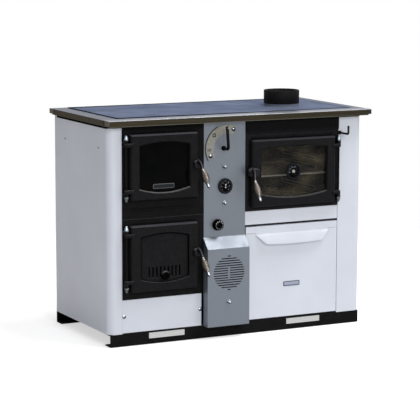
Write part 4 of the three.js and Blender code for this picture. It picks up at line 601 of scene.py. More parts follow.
# painted shadow on the panel along the scale's outer edge
scaleShadow = paint("painted_shadow_along_an_edge", "43464c", "4f5258", 0.7, 0.1)
markDark = paint("scale_mark_print", "2a2c2e", "36383a", 0.5, 0.1)
plateFrame = paint("grey_plate_print", "606265", "6c6e70", 0.5)
plateDark = paint("dark_plate_print", "1c1e20", "25272a", 0.5, 0.1)
badgeFrame = paint("blue_grey_plate_print", "474c62", "53586e", 0.5, 0.1)
ringBlack = paint("gauge_ring_lacquer", "1b1b20", "222228", 0.6, 0.04)
dialBlack = paint("dial_black_paint", "0b0b0e", "101014", 0.6, 0.02)
dialWhite = paint("dial_white_print", "dfe1e2", "e8eaeb", 0.5)
dialGrey = paint("dial_grey_print", "8b8e92", "999ca0", 0.5, 0.1)
dialBlue = paint("dial_pale_blue_print", "b3c2d2", "c1cfdd", 0.5, 0.1)
dialDim = paint("dial_faded_print", "2e3134", "393c40", 0.5, 0.1)
freshWhite = paint("bright_white_pointer_spot", "f2f4f5", "f8f9fa", 0.3, 0.5)
pointerCream = paint("cream_pointer_hub", "cdc6b6", "d8d2c3", 0.4)
# the fan's impeller takes black rod paint so that the grille's slots show dark, painted shade
nodeFinish = {"oven_front_frame": frameBlack, "oven_glass": ovenGlass, "regulator_scale": scalePlate,
              "oven_box": ovenInside, "fan_impeller": rodBlack, "oven_rack": rackWire,
              "fire_door": fireDoorBlack, "fire_front_casting": fireFrontBlack,
              "ash_front_casting": ashFrontBlack, "ash_air_slider": airIron,
              "base_plate": finishes["black_paint"], "skid_front": skidBlack, "skid_rear": skidBlack}
for row in frame["record"]["subparts"]:
    slots = frame["nodes"][row["node"]].data.materials
    slots.clear()
    slots.append(nodeFinish.get(row["node"], finishes[row["material_slot"]]))
print("finishes assigned to the frame:", len(finishes) + len(nodeFinish))


# Coil grips, end nuts and handles: start is the grip's place from the pivot, root the arm's shift on the hub

grips = {"fire": {"hand": 1, "start": (4, -44.8, -17), "tilt": 7.6, "turns": 12, "root": 0},
         "ash": {"hand": 1, "start": (5.3, -44.8, -18), "tilt": 8, "turns": 12, "root": 0},
         "oven": {"hand": -1, "start": (19.9, -42.7, -30), "tilt": -3, "turns": 14, "root": 14}}
gripSizes = {
    "lean": 27, "wire": 1.5, "endRadius": 4.9, "middleRadius": 12.6, "pitch": 3.6, "lift": 2.3,
    "endRise": 5.0, "gap": 0.3,
    "nut": [(0, 0), (6.3, 0), (6.3, 2.6), (5.5, 3.4), (5.5, 12), (5, 13.2), (3.1, 16.8), (2.6, 17.4),
            (2, 17.6), (0, 17.6)],
    "ferrule": [(0, -5.5), (4.2, -5.5), (5.6, -2.5), (6.3, -0.6), (6.3, 1.9), (2.6, 2.0)], "pin": 2.6,
    "arm": (9.5, 5.0), "armFlat": (0.45, 1.0), "armRoot": (-13, 11), "armPull": (16, 12),
    "hubSide": 30, "hubCorner": 11, "hub": [(1.0, 0.4), (0, 1.4), (0, 13.5), (1.5, 15), (10, 15)],
    "axle": (4.5, -2, 27), "tongue": [(0, 22, -5), (13.5, 28, 5)],
}


def coilWire(start, way, turns, perTurn=40):
    # helix: radius = end + (middle - end) sin(pi s), angle = 2 pi (turns + 1) s, the end turns lying flat
    g = gripSizes
    length = 2 * g["endRise"] + turns * g["pitch"]
    s = np.linspace(0, 1, turns * perTurn + 1)
    flat = 0.5 / turns
    height = np.clip((s - flat) / (1 - 2 * flat), 0, 1) * (length - 2 * g["wire"]) + g["wire"] + g["lift"]
    angle = tau * (turns + 1) * s[:, None]
    radius = g["endRadius"] + (g["middleRadius"] - g["endRadius"]) * np.sin(math.pi * s)
    axis, side, over = crossAxes(way)
    radial = np.cos(angle) * side + np.sin(angle) * over
    return tube(start + radius[:, None] * radial + height[:, None] * axis, radial, g["wire"], 12)


for name, grip in grips.items():
    g = gripSizes
    pivot = pivotOf(name + "_handle_turn")
    mirror = np.array([grip["hand"], 1, 1])
    start = pivot + grip["start"] * mirror
    # leaned forwards by lean from straight down, then tilted sideways
    lean, tilt = math.radians(g["lean"]), math.radians(grip["tilt"])
    way = np.array([math.sin(tilt), -math.sin(lean) * math.cos(tilt),
                    -math.cos(lean) * math.cos(tilt)]) * mirror
    top = g["lift"] + 2 * g["endRise"] + grip["turns"] * g["pitch"] + g["gap"]
    aside = grip["hand"] * grip["root"]
    root = pivot + [aside, *g["armRoot"]]
    rootPull, endPull = g["armPull"]
    arm = bezier([root, root + frontWay * rootPull, start - way * endPull, start], 24)
    taper, flat = (np.linspace(*g[key], 24) for key in ("arm", "armFlat"))
    ferrule = g["ferrule"] + [(g["pin"], top), (0, top)]
    hubSize = (g["hubSide"] + grip["root"], g["hubSide"])
    shells = [
        (*roundedPlate(pivot + [aside / 2, 0, 0], hubSize, g["hubCorner"], g["hub"], 48), hubIron),
        (*turned(disc(*g["axle"]), pivot, backWay, 24), darkSteel),
        (*shapedBox(*(pivot + np.sort(g["tongue"] * mirror, axis=0))), darkSteel),
        (*tube(arm, rightWay, taper, 32, flat), armIron),
        (*turned(ferrule, start, way, 32), ferruleSteel),
    ]
    lever = name + "_handle_lever"
    makePiece(name + "_coil_grip", [(*coilWire(start, way, grip["turns"]), finishes["coil_wire"])], lever,
              [name + "_grip_coil"])
    makePiece(name + "_end_nut", [(*turned(g["nut"], start + way * top, way, 40), finishes["chrome"])], lever,
              [name + "_grip_nut"], sharp=30)
    makePiece(name + "_lever", shells, lever, [name + "_handle"], bevel=0.5)
print("grips and handles made")


# The regulator's crank: a bent rod with a collar, a worn tip and the flap behind the panel

crank = {"at": (-68, 724), "radius": 5.8, "bend": 10.0, "reach": 41.0, "rise": 87.0, "lean": 4.0,
         "back": 60.0, "ends": [(1.2, 0), (0.4, 0.5), (0, 1.4)], "tipAt": (1.6, 81.0),
         "flap": [(-2, 20, -24), (2, 60, 4)],
         "collar": [(0, 0.2), (8.2, 0.2), (9.0, 1.0), (9.0, 4.4), (7.0, 6.6), (0, 7.0)],
         "tip": [(0, 3.8), (3.2, 3.8), (3.2, 5.4), (2.4, 6.1), (0, 6.3)]}


def bentRod(c, turn, steps=14):
    # straight forwards, a quarter turn of the bend's radius, then straight up to a rounded end; turn leans it
    a = np.linspace(0, math.pi / 2, steps)
    bend = np.stack([0 * a, c["bend"] * (1 - np.sin(a)) - c["reach"], c["bend"] * (1 - np.cos(a))], -1)
    ends = [[0, -c["reach"], c["rise"] - drop] for drop, less in c["ends"]]
    path = np.concatenate([[[0, c["back"], 0]], bend, ends]) @ turn.T
    radius = np.full(len(path), c["radius"])
    radius[-3:] -= [less for drop, less in c["ends"]]
    return tube(path, turn[:, 0], radius, 24)


pivot = onFront("control_panel", *crank["at"])
lean = math.radians(crank["lean"])
turn = np.array([[math.cos(lean), 0, -math.sin(lean)], backWay, [math.sin(lean), 0, math.cos(lean)]])
aside, rise = crank["tipAt"]
points, quads = bentRod(crank, turn)
top = pivot + turn @ [0, -crank["reach"], rise] + [aside, 0, 0]
makePiece("regulator_crank_rod", [
    (points + pivot, quads, rodBlack),
    (*turned(crank["collar"], pivot, around=40), deadBlack),
    (*shapedBox(*(pivot + crank["flap"])), rodBlack),
    (*turned(crank["tip"], top, around=24), tipSteel),
], "regulator", ["regulator_crank"])
print("crank made")


# Hinge rods with bullet nuts

hingeLook = {"rod": 3.4, "inset": 5, "nutLong": 20.0,
             "nut": [(0, 0), (9.0, 0), (9.0, 3.4), (8.3, 4.4), (7.4, 8.0), (6.2, 12.0), (4.9, 16.0),
                     (4.1, 18.0), (3.0, 19.3), (1.6, 19.9), (0, 20.0)]}
for name in ("fire", "ash", "oven"):
    h = hingeLook
    low, high = boxOf(name + "_hinge_rod")
    axis = (low + high) / 2 * [1, 1, 0]
    low, high = low[2], high[2]
    rod = disc(h["rod"], low + h["inset"], high - h["inset"])
    nuts = [[(r, high - h["nutLong"] + z) for r, z in h["nut"]],
            [(r, low + h["nutLong"] - z) for r, z in h["nut"]]]
    shells = [(*turned(nut, axis, upWay, 40), hingeNickel) for nut in nuts]
    shells.append((*turned(rod, axis, upWay, 24), rodBlack))
    makePiece(name + "_hinge_pin", shells, "stove", [name + "_hinge_rod"], sharp=30)
print("hinges made")


# Flue collar: a black ring on a grey neck, both closed profiles turned about the flue's axis

flue = {"outer": 70.5, "wall": 4.0, "neck": 8.0, "neckWall": 2.8}
low, high = boxOf("flue_collar")
middle = (low + high) / 2 * [1, 1, 0]
low, high, hobTop = low[2], high[2], boxOf("hob_plate_right")[1][2]
outer, inner, neckTop = flue["outer"], flue["outer"] - flue["wall"], hobTop + flue["neck"]
lining = inner + flue["neckWall"]
ring = [(inner, low), (lining, low), (lining, neckTop), (outer - 1.0, neckTop), (outer, neckTop + 1.0),
        (outer, high - 1.6), (outer - 0.6, high - 0.4), (outer - 1.6, high), (inner + 0.8, high),
        (inner, high - 0.8)]
neck = [(lining + 0.1, hobTop - 0.2), (outer + 1.5, hobTop + 0.1), (outer - 0.2, hobTop + 1.2),
        (outer - 0.5, neckTop - 0.1), (lining + 0.1, neckTop - 0.1)]
shells = [(*turned(profile, middle, upWay, 128, closed=True), finish)
          for profile, finish in ((ring, finishes["black_paint"]), (neck, neckGrey))]
makePiece("flue_ring", shells, "stove", ["flue_collar"], sharp=50)
print("flue collar made")


# Gauges: ring, dial with printed scale, pointer, lens; the first bold figures are printed in blue

gauges = {
    "boiler": {"body": "stove", "radius": 29.5, "proud": 9.0, "back": 24.0, "wall": 9.0, "major": dialWhite,
               "minor": dialGrey, "from": -101.25, "step": 67.5, "figures": range(0, 121, 40), "bold": 0,
               "size": 4.9, "at": 12.6, "hub": 2.9, "hubFinish": dialBlack, "needle": dialBlack,
               "spots": (5.3, -4.3)},
    "oven": {"body": "oven_door_leaf", "radius": 30.0, "proud": 10.0, "back": 4.0, "wall": 5.0,
             "major": dialDim, "minor": dialDim, "from": -100, "step": 40, "figures": range(50, 351, 50),
             "bold": 4,
             "size": 6.0, "at": 17.2, "hub": 5.8, "hubFinish": pointerCream, "needle": dialDim, "spots": ()},
}
dial = {"recess": 4.0, "sweep": 270, "ticks": 25, "every": 4, "majorSize": (3.4, 1.2),
        "minorSize": (1.8, 0.55), "margin": 0.8, "print": 0.06, "lift": 0.12, "seat": 0.3, "lensOver": 0.2,
        "lens": (2.6, 3.4)}
needleLook = {"lift": 1.3, "tail": -5.0, "reach": 13.0, "wide": (0.45, 0.25), "spot": 2.9}


for name, gauge in gauges.items():
    d, n = dial, needleLook
    face = pivotOf(name + "_pointer_turn")  # the pointer's pivot lies in the dial's face
    r, rim, wall = gauge["radius"], d["recess"], gauge["wall"]
    base, deep = gauge["proud"] - rim - d["seat"], boxOf(name + "_gauge")[1][1] - face[1]
    ring = [(0, -deep), (gauge["back"], -deep), (gauge["back"], -base), (r, -base), (r, rim - 2.0),
            (r - 0.6, rim - 0.6), (r - 2.0, rim), (r - wall + 1.4, rim - 0.5),
            (r - wall + 0.3, rim - 1.4), (r - wall, rim - 2.0),
            (r - wall, 0), (0, 0)]
    shells = [(*turned(ring, face, around=96), ringBlack),
              (*turned(disc(r - wall, 0.01, d["print"]), face, around=96), dialBlack)]
    radial = clockWay(np.linspace(-d["sweep"] / 2, d["sweep"] / 2, d["ticks"]))
    printed = face + frontWay * d["print"]
    major = np.arange(d["ticks"]) % d["every"] == 0
    for kind, which in (("major", major), ("minor", ~major)):
        long, wide = d[kind + "Size"]
        centres = printed + radial[which] * (r - wall - d["margin"] - long / 2)
        shells.append((*bars(centres, radial[which], long, wide, d["lift"]), gauge[kind]))
    words = [str(figure) for figure in gauge["figures"]]
    places = printed + clockWay(gauge["from"] + gauge["step"] * np.arange(len(words))) * gauge["at"]
    for finish, part in ((dialBlue, slice(0, gauge["bold"])), (gauge["minor"], slice(gauge["bold"], None))):
        if words[part]:
            shells.append((*flatText(words[part], gauge["size"], places[part], d["lift"]), finish))
    makePiece(name + "_dial", shells, gauge["body"], [name + "_gauge"], sharp=30)
    h, lift = gauge["hub"], n["lift"]
    hub = [(0, lift - 0.8), (h, lift - 0.8), (h, lift + 0.3), (h - 0.6, lift + 0.7), (0, lift + 0.9)]
    line = np.linspace([0, -lift, n["tail"]], [0, -lift, n["reach"]], 12) + face
    shells = [(*tube(line, rightWay, np.linspace(*n["wide"], 12), 8), gauge["needle"]),
              (*turned(hub, face, around=32), gauge["hubFinish"])]
    spot = disc(n["spot"], lift + 0.5, lift + 1.1, 0.1)
    shells += [(*turned(spot, face + upWay * height, around=24), freshWhite) for height in gauge["spots"]]
    makePiece(name + "_pointer", shells, name + "_pointer", [name + "_gauge_needle"],
              sharp=30)
    lens = disc(r - wall + d["lensOver"], *d["lens"])
    makePiece(name + "_dial_lens", [(*turned(lens, face, around=96), lensGlass)], gauge["body"])
print("gauges made")


# Thermostat knob: a skirt and a fluted grip with marks; a row of the profile is radius, height, flutes' depth

knob = {"flutes": 18, "marks": 12, "markAt": 14.9, "markSize": (4.6, 1.7, 0.3), "markHeight": 19.6,
        "litAbove": 0.3,
        "profile": [(0, 1, 0), (20.9, 1, 0), (21.5, 1.6, 0), (21.5, 4.2, 0), (20.7, 5, 0), (20.4, 5.2, 0),
                    (20, 6.6, 1.1), (19.5, 18, 1.1), (19.1, 19, 0.66), (18.4, 19.5, 0), (0, 19.5, 0)],
        "face": (18.2, 19.45, 19.65)}


def fluted(centre, profile, flutes, around=160):
    # radius = r - depth (1 + cos(flutes t)) / 2
    r, height, depth = np.array(profile, float).T[..., None]
    return faceTurned(centre, r - depth * (1 + np.cos(flutes * angles(around))) / 2, height)


centre = pivotOf("thermostat_turn")
spoke = clockWay(np.arange(knob["marks"]) * 360 / knob["marks"])
marks = centre + spoke * knob["markAt"] + frontWay * knob["markHeight"]
shells = [(*fluted(centre, knob["profile"], knob["flutes"]), deadBlack),
          (*turned(disc(*knob["face"]), centre, around=64), deadBlack)]
# painted light: the marks high on the knob printed white as lit from above, the lower ones grey as shaded
for finish, which in ((dialWhite, spoke[:, 2] > knob["litAbove"]), (dialGrey, spoke[:, 2] <= knob["litAbove"])):
    shells.append((*bars(marks[which], spoke[which], *knob["markSize"]), finish))
makePiece("thermostat_grip", shells, "thermostat_dial", ["thermostat_knob"], sharp=45)
print("knob made")


# Acorn nuts on washers; each row of the profile is radius, height and how far it is hexagonal

acorn = {"foot": [(0, 0, 0), (9.0, 0, 0), (9.3, 0.3, 0), (9.3, 1.3, 0), (9.0, 1.6, 0), (7.3, 1.6, 1),
                  (7.3, 5.6, 1), (6.6, 6.2, 0.6), (5.7, 6.4, 0)],
         "dome": (5.6, 6.8, 5.9), "top": 12.7}


def hexagonal(centre, profile, around=72):
    # radius = r where it is round, and r cos(30) / cos(angle from the flat's middle) where it is hexagonal
    flat = math.cos(math.pi / 6) / np.cos((angles(around) + math.pi / 6) % (math.pi / 3) - math.pi / 6)
    r, height, share = np.array(profile, float).T[..., None]
    return faceTurned(centre, r * (1 + share * (flat - 1)), height)


wide, foot, high = acorn["dome"]
dome = [(wide * math.cos(v), foot + high * math.sin(v), 0) for v in np.linspace(0, math.pi / 2 - 0.1, 10)]
for name in ("panel_nut_upper", "panel_nut_lower", "fan_cover_nut"):
    low, high = boxOf(name)
    centre = (low + high) / 2
    centre[1] = high[1]
    shell = hexagonal(centre, acorn["foot"] + dome + [(0, acorn["top"], 0)])
    makePiece(name + "_cap", [(*shell, nutNickel)], "stove", [name], sharp=30)
print("acorn nuts made")


# Screws: pan heads with a cross slot

leftX, rightX = boxOf("side_casing_left")[0][0], boxOf("side_casing_right")[1][0]
lowerY, scaleY = boxOf("lower_front_panel")[0][1], boxOf("regulator_scale")[0][1]
rearY = boxOf("rear_panel")[1][1]
sidePlaces = ((165 + depthShift, 743), (-153 + depthShift, 741))
screws = {
    "plinth_screws": {"at": [(x, lowerY, 113.5) for x in (-481, -164.5)], "axis": frontWay,
                      "size": (7.4, 4.2, 0.9), "finish": nutNickel},
    "scale_screws": {"at": [(-124, scaleY, 697), (-27, scaleY, 795)], "axis": frontWay,
                     "size": (8.4, 6.0, 1.0), "finish": finishes["chrome"]},
    "left_side_screws": {"at": [(leftX, *yz) for yz in sidePlaces], "axis": -rightWay,
                         "size": (4.0, 1.8, 0.6), "finish": dullScrew},
    "right_side_screws": {"at": [(rightX, *yz) for yz in sidePlaces], "axis": rightWay,
                          "size": (4.0, 1.8, 0.6), "finish": dullScrew},
    "rear_screws": {"at": [(x, rearY, z) for x in (-505, -170, 170, 505) for z in (80, 430, 800)],
                    "axis": backWay, "size": (4.5, 2.0, 0.7), "finish": finishes["chrome"]},
}
panLook = {"steps": (0, 0.08, 0.16, 0.26, 0.38, 0.5, 0.62, 0.72, 0.8, 0.88, 0.94, 0.98, 1), "power": 2.5,
           "rim": 0.25, "slotReach": 0.6, "slotDepth": 0.45}


def panHead(centre, axis, radius, height, slot, around=48):
    # dome: height (rim + (1 - rim) (1 - (r / R)^power)), less the slot's depth inside a cross
    p = panLook
    axis, side, over = crossAxes(axis)
    t = angles(around)
    share = np.array(p["steps"])[::-1, None] * np.ones(around)
    x, y = radius * share * np.cos(t), radius * share * np.sin(t)
    h = height * (p["rim"] + (1 - p["rim"]) * (1 - share ** p["power"]))
    cut = (np.minimum(abs(x), abs(y)) < slot) & (share < p["slotReach"])
    h = h - height * p["slotDepth"] * cut
    x, y, h = (np.concatenate([[0 * v[0], v[0] * keep], v])[..., None]
               for v, keep in ((x, 1), (y, 1), (h, 0)))
    return wrapGrid(centre + x * side + y * over + h * axis)


for name, screw in screws.items():
    heads = [(*panHead(np.array(at), screw["axis"], *screw["size"]), screw["finish"]) for at in screw["at"]]
    makePiece(name, heads, "stove", sharp=35)
print("screws made")


# Bare plates where the object carries labels

plates = {
    "fire_glass_plate": {"body": "fire_door_leaf", "node": "fire_glass", "centre": (-324, 597.5),
                         "size": (87, 17.5), "frame": 1.6, "corner": 3.0, "thick": 0.8, "finish": plateFrame,
                         "middle": plateDark},
    "drawer_badge": {"body": "wood_drawer", "node": "drawer_front", "centre": (232, 181), "size": (72, 19),
                     "frame": 3.4, "corner": 2.5, "thick": 1.2, "finish": badgeFrame, "middle": labelMetal},
}
for name, plate in plates.items():
    at = onFront(plate["node"], *plate["centre"])
    thick, corner = plate["thick"], plate["corner"]
    shell = roundedPlate(at, plate["size"], corner, [(0, 0), (0, thick - 0.3), (0.3, thick),
                                                     (corner * 0.9, thick)])
    inside = np.array(plate["size"]) - 2 * plate["frame"]
    field = roundedPlate(at, inside, 1.0, [(0, thick - 0.1), (0, thick + 0.15), (0.2, thick + 0.2)])
    makePiece(name, [(*shell, plate["finish"]), (*field, plate["middle"])], plate["body"], sharp=30)
print("plates made")


# Marks on the regulator's scale: an open square and three bars, and a painted shadow along its outer edge

scaleMarks = {"centre": (-54, 724), "square": (75, 137), "squareSize": 7.2, "line": (12.96, 3.4),
              "bars": (76, 183), "barSize": (11.0, 2.4), "barPitch": 5.2, "lift": 0.2, "shadowAt": 91.0,
              "shadowArc": (118, 208, 31), "shadowSize": (5.4, 4.4, 0.3)}
s = scaleMarks
origin = onFront("regulator_scale", *s["centre"])
radius, angle = s["square"]
out, along = clockWay(90 - angle), clockWay(-angle)
corners = origin + radius * out + s["squareSize"] * np.array([out, along, -out, -along])
after = np.roll(corners, -1, 0)
shells = [(*bars((corners + after) / 2, after - corners, *s["line"], s["lift"]), markDark)]
radius, angle = s["bars"]
places = origin + (radius + s["barPitch"] * np.array([[-1], [0], [1]])) * clockWay(90 - angle)
shells.append((*bars(places, [clockWay(-angle)] * 3, *s["barSize"], s["lift"]), markDark))
# painted shadow: dark bars on the panel round the scale's outer edge
out = clockWay(90 - np.linspace(*s["shadowArc"]))
origin = onFront("control_panel", *s["centre"], -0.02)
shells.append((*bars(origin + out * s["shadowAt"], np.cross(out, backWay), *s["shadowSize"]), scaleShadow))
makePiece("scale_marks", shells, "stove", smooth=False)
print("scale marked")


# Small fittings: damper bush, header rivets, drawer seams, the gap beside the fan cover, and a black disc behind
# the fan cover's grille as painted shade in its slots

bush = {"at": (443, 759), "ring": [(4.9, 0.1), (8.0, 0.1), (8.0, 1.0), (6.5, 3.0), (4.9, 3.0)]}
shell = turned(bush["ring"], onFront("side_casing_right", *bush["at"]), around=40, closed=True)
makePiece("damper_bush", [(*shell, finishes["black_plastic"])], "stove", sharp=30)

rivet = {"x": (57, 232, 403.5), "z": 758.0, "behind": 12.0, "size": (5.4, 2.6, 0.0)}
castY = boxOf("oven_front_frame")[1][1] - rivet["behind"]
heads = [(*panHead(np.array([x, castY, rivet["z"]]), frontWay, *rivet["size"]), rodBlack) for x in rivet["x"]]
makePiece("header_rivet", heads, "stove")

seam = {"z": (387.6, 388.5), "proud": 0.12, "behind": 0.2, "over": 1}
(frontLow, frontHigh), (handleLow, handleHigh) = boxOf("drawer_front"), boxOf("drawer_handle")
drawerY = frontLow[1]
shells = [(*shapedBox([x0 + seam["over"] * a, drawerY - seam["proud"], seam["z"][0]],
                      [x1 + seam["over"] * a, drawerY + seam["behind"], seam["z"][1]]), markDark)
          for x0, x1, a in ((frontLow[0], handleLow[0], 1), (handleHigh[0], frontHigh[0], -1))]
makePiece("drawer_seams", shells, "wood_drawer", smooth=False)

gapLook = {"wide": 6.5, "over": 0.1, "proud": 0.15, "behind": 0.3, "foot": 0.5, "top": 0.3}
low, high = boxOf("lower_front_panel")
gap = shapedBox([high[0] - gapLook["wide"], low[1] - gapLook["proud"], low[2] + gapLook["foot"]],
                [high[0] + gapLook["over"], low[1] + gapLook["behind"], high[2] - gapLook["top"]])
makePiece("plinth_gap", [(*gap, deadBlack)], "stove", smooth=False)

# painted shade: a black disc behind the grille, so that its slots show dark
slotShade = {"at": (-62, 252.5), "radius": 69.5, "thick": 0.8, "behind": 2.2}
centre = onFront("fan_cover", *slotShade["at"], slotShade["behind"])
shell = turned(disc(slotShade["radius"], 0, slotShade["thick"]), centre, backWay, 72)
makePiece("fan_cover_slot_shade", [(*shell, deadBlack)], "stove")
print("small fittings made")


# Painted shade round the sides and top of the ash door's recess, as a black line: bars along two straights and an
# arc

recessShade = {"span": (-424, -223), "foot": 256, "shoulder": 410, "rise": 14, "wide": 4.4, "recess": 6.0,
          "overlap": 0.6, "lift": 0.3}
x0, x1 = recessShade["span"][0] + recessShade["wide"] / 2, recessShade["span"][1] - recessShade["wide"] / 2
x, drop = shallowArc(x0, x1, recessShade["rise"], 25)
z = recessShade["shoulder"] - recessShade["wide"] / 2 + recessShade["rise"] - drop
line = np.stack([[x0, *x, x1], [boxOf("ash_door")[0][1] + recessShade["recess"]] * (len(x) + 2),
                 [recessShade["foot"], *z, recessShade["foot"]]], -1)
steps = np.diff(line, axis=0)
shell = bars((line[1:] + line[:-1]) / 2, steps, np.linalg.norm(steps, axis=1) + recessShade["overlap"],
             recessShade["wide"], recessShade["lift"])
makePiece("ash_panel_recess_shade", [(*shell, deadBlack)], "ash_door_leaf", smooth=False)
print("groove made")


# The drawer's lip handle

lip = {"top": 384.0, "low": 341.5, "corner": 348.5, "reach": 19.0, "endReach": 2.2, "endFoot": 4,
       "thick": 1.8, "sink": 0.4, "bend": 0.74, "power": 1.3, "endPower": 0.7, "bow": (0.98, 0.9),
       "gap": 0.02, "thin": (0.15, 6), "proud": 0.05, "grid": (97, 17)}


def drawerLip(low, high, root):
    # across u from -1 to 1 and down v from 0 to 1: past the bend the foot rises as a power of u, the face
    # bows out by reach sin(v 90 degrees), less towards the ends; a second sheet lies thick behind it and they
    # close all round
    across, down = lip["grid"]
    u, v = np.linspace(-1, 1, across)[:, None], np.linspace(0, 1, down)[None]
    fall = 1 - np.clip((abs(u) - lip["bend"]) / (1 - lip["bend"]), 0, 1) ** lip["power"]
    end = lip["top"] - lip["endFoot"]
    foot = end - (end - lip["corner"]) * fall - (lip["corner"] - lip["low"]) * (1 - u ** 2) * fall
    spread = (lip["reach"] - lip["endReach"]) * fall ** lip["endPower"] + lip["endReach"]
    x = (low[0] + high[0]) / 2 + (high[0] - low[0]) / 2 * u + 0 * v
    z = lip["top"] - (lip["top"] - foot) * v
    share, power = lip["bow"]
    y = root - spread * np.sin(v * math.pi / 2 * share) ** power
    front = np.stack([x, y, z], -1)
    least, growth = lip["thin"]  # thin where it leaves the drawer
    thickness = lip["thick"] * np.minimum(1, v * growth + least)[..., None]
    behind = front + backWay * thickness - upWay * lip["sink"]
    behind[..., 1] = np.minimum(behind[..., 1], root - lip["gap"])
    points, quads = wrapGrid(np.concatenate([front, behind[:, ::-1]], 1))
    caps = [(row * 2 * down + np.arange(2 * down)).tolist() for row in (0, across - 1)]
    return points, [*quads.tolist(), *caps]


shell = drawerLip(handleLow, handleHigh, drawerY - lip["proud"])
makePiece("drawer_lip", [(*shell, finishes["white_enamel"])], "wood_drawer",
          ["drawer_handle"], sharp=50)
print("drawer's lip made")


# Black strip under the worktop's overhang, a painted shadow seen as a dark line round the casing

overhangShade = {"proud": 1.6, "inner": 0.1, "under": 0.1, "deep": 7.0, "round": 0.5, "corner": 30.0,
         "leftWide": 3, "leftFrom": 1, "leftDrop": 1.6}
low = np.array([leftX, drawerY])
high = np.array([rightX, boxOf("side_casing_left")[1][1]])
top = boxOf("worktop_rim")[0][2] - overhangShade["under"]
proud, foot = overhangShade["proud"], top - overhangShade["deep"]
profile = [(overhangShade["inner"], top), (proud, top), (proud, foot + overhangShade["round"]),
           (proud - overhangShade["round"], foot), (overhangShade["inner"], foot)]
shell, quads = roundedRing([*(low + high) / 2, 0], high - low, overhangShade["corner"], profile, 2)
lowered = (shell[:, 0] < leftX + overhangShade["leftWide"]) & (shell[:, 2] < top - overhangShade["leftFrom"])
shell[lowered, 2] -= overhangShade["leftDrop"]
makePiece("worktop_overhang_shadow", [(shell, quads, deadBlack)], "stove", sharp=30)


# Black rope round the hob plates: half a circle in section, fuller to the right and pressed flat at its right
# end, and the joint between the two plates

rope = {"half": 4.0, "proud": 2.6, "out": 0.5, "sunk": 0.15, "corner": 3.0, "seam": (1.6, 0.3, 0.12),
        "flat": 0.2, "flatWide": 8, "swell": (100, 0.6)}
(leftLow, leftHigh), (rightLow, rightHigh) = boxOf("hob_plate_left"), boxOf("hob_plate_right")
top, half = rightHigh[2], rope["half"]
profile = [(half * math.cos(v) + rope["out"], top + rope["proud"] * math.sin(v))
           for v in np.linspace(0, math.pi, 9)]
profile += [(side * half + rope["out"], top - rope["sunk"]) for side in (-1, 1)]
middle, size = (leftLow + rightHigh) / 2 * [1, 1, 0], (rightHigh - leftLow)[:2]
shell, quads = roundedRing(middle, size, rope["corner"], profile, 2)
swellFrom, swell = rope["swell"]
fuller = np.clip((shell[:, 0] - swellFrom) / (rightHigh[0] - swellFrom), 0, 1) * swell
squashed = shell[:, 0] > rightHigh[0] - rope["flatWide"]
shell[:, 2] = top + (shell[:, 2] - top) * (1 + fuller) * np.where(squashed, rope["flat"], 1)
bare = squashed[quads].all(1)
wide, below, above = rope["seam"]
middle = (leftHigh[0] + rightLow[0]) / 2
seam = shapedBox([middle - wide / 2, leftLow[1], top - below], [middle + wide / 2, rightHigh[1], top + above])
makePiece("hob_seal", [(shell, quads[~bare], deadBlack), (shell, quads[bare], finishes["hob_steel"]),
                       (*seam, deadBlack)], "stove", sharp=50)
print("worktop's and hob's seals made")


# Runners on the oven's walls for a second rack: flat loops of wire in three pairs

runner = {"wire": 1.75, "front": 82, "back": 30, "half": 5.6, "levels": (-72, 11.5, 46), "gap": 0.4,
          "over": 1}
low, high = boxOf("oven_rack")
half = runner["half"]
t = np.linspace(-math.pi / 2, math.pi / 2, 9)
front, back = low[1] + runner["front"], high[1] - runner["back"]
# a loop is two half circles of radius half joined by straights, begun and ended in its lower straight
start = [[(front + back) / 2, -half]]
outline = np.concatenate([start, np.stack([front - half * np.cos(t), half * np.sin(t)], -1),
                          np.stack([back + half * np.cos(t), -half * np.sin(t)], -1), start])
fromWall = runner["gap"] + runner["wire"] - runner["over"]
shells = []
for x in (low[0] + fromWall, high[0] - fromWall):
    for level in runner["levels"]:
        loop = np.insert(outline + [0, (low[2] + high[2]) / 2 + level], 0, x, axis=1)
        # the runners take the rack's pale paint, a painted highlight
        shells.append((*tube(loop, rightWay, runner["wire"], 8), rackWire))
makePiece("oven_runner_wires", shells, "stove")
print("oven runners made")


# Door seals: flat knitted rope round each opening, on the doors' backs

seals = {"fire": (-462, -185, 549, 794), "ash": (-462, -185, 204, 455), "oven": (45, 410, 492, 750)}
sealSize = {"inset": 14, "y": -217.693, "width": 9.0, "thick": 1.2, "corner": 10.0}
s = sealSize
# section: width cos u inwards, thickness (1 + sin u) / 2 backwards
section = [(s["width"] / 2 * math.cos(u), s["thick"] * (1 + math.sin(u)) / 2) for u in angles(12)]
for name, (x0, x1, z0, z1) in seals.items():
    size = np.array([x1 - x0, z1 - z0]) - 2 * s["inset"]
    shell = roundedRing([(x0 + x1) / 2, s["y"], (z0 + z1) / 2], size, s["corner"], section, 1)
    makePiece(name + "_door_seal", [(*shell, sealRope)], name + "_door_leaf")
print("door seals made")


# Painted highlights along the lower edges of the two windows, in the middle of their bevel

arches = {"fire": {"span": (-426, -221), "base": 592, "sag": 17, "radius": 0.75},
          "oven": {"span": (84, 371), "base": 542, "sag": 17, "radius": 0.42}}
bevel = {"half": 1.2, "beforeGlass": 11.5}
for name, arch in arches.items():
    x, rise = shallowArc(arch["span"][0] - bevel["half"], arch["span"][1] + bevel["half"], arch["sag"], 49)
    y = boxOf(name + "_glass")[0][1] - bevel["beforeGlass"] + bevel["half"]
    line = np.stack([x, 0 * x + y, arch["base"] - bevel["half"] - arch["sag"] + rise], -1)
    shell = tube(line, backWay, arch["radius"], 8)
    makePiece(name + "_window_edge", [(*shell, archHighlight)], name + "_door_leaf")
print("window edges made")


# Camera, floor and light; the camera's place is given from the worktop's middle

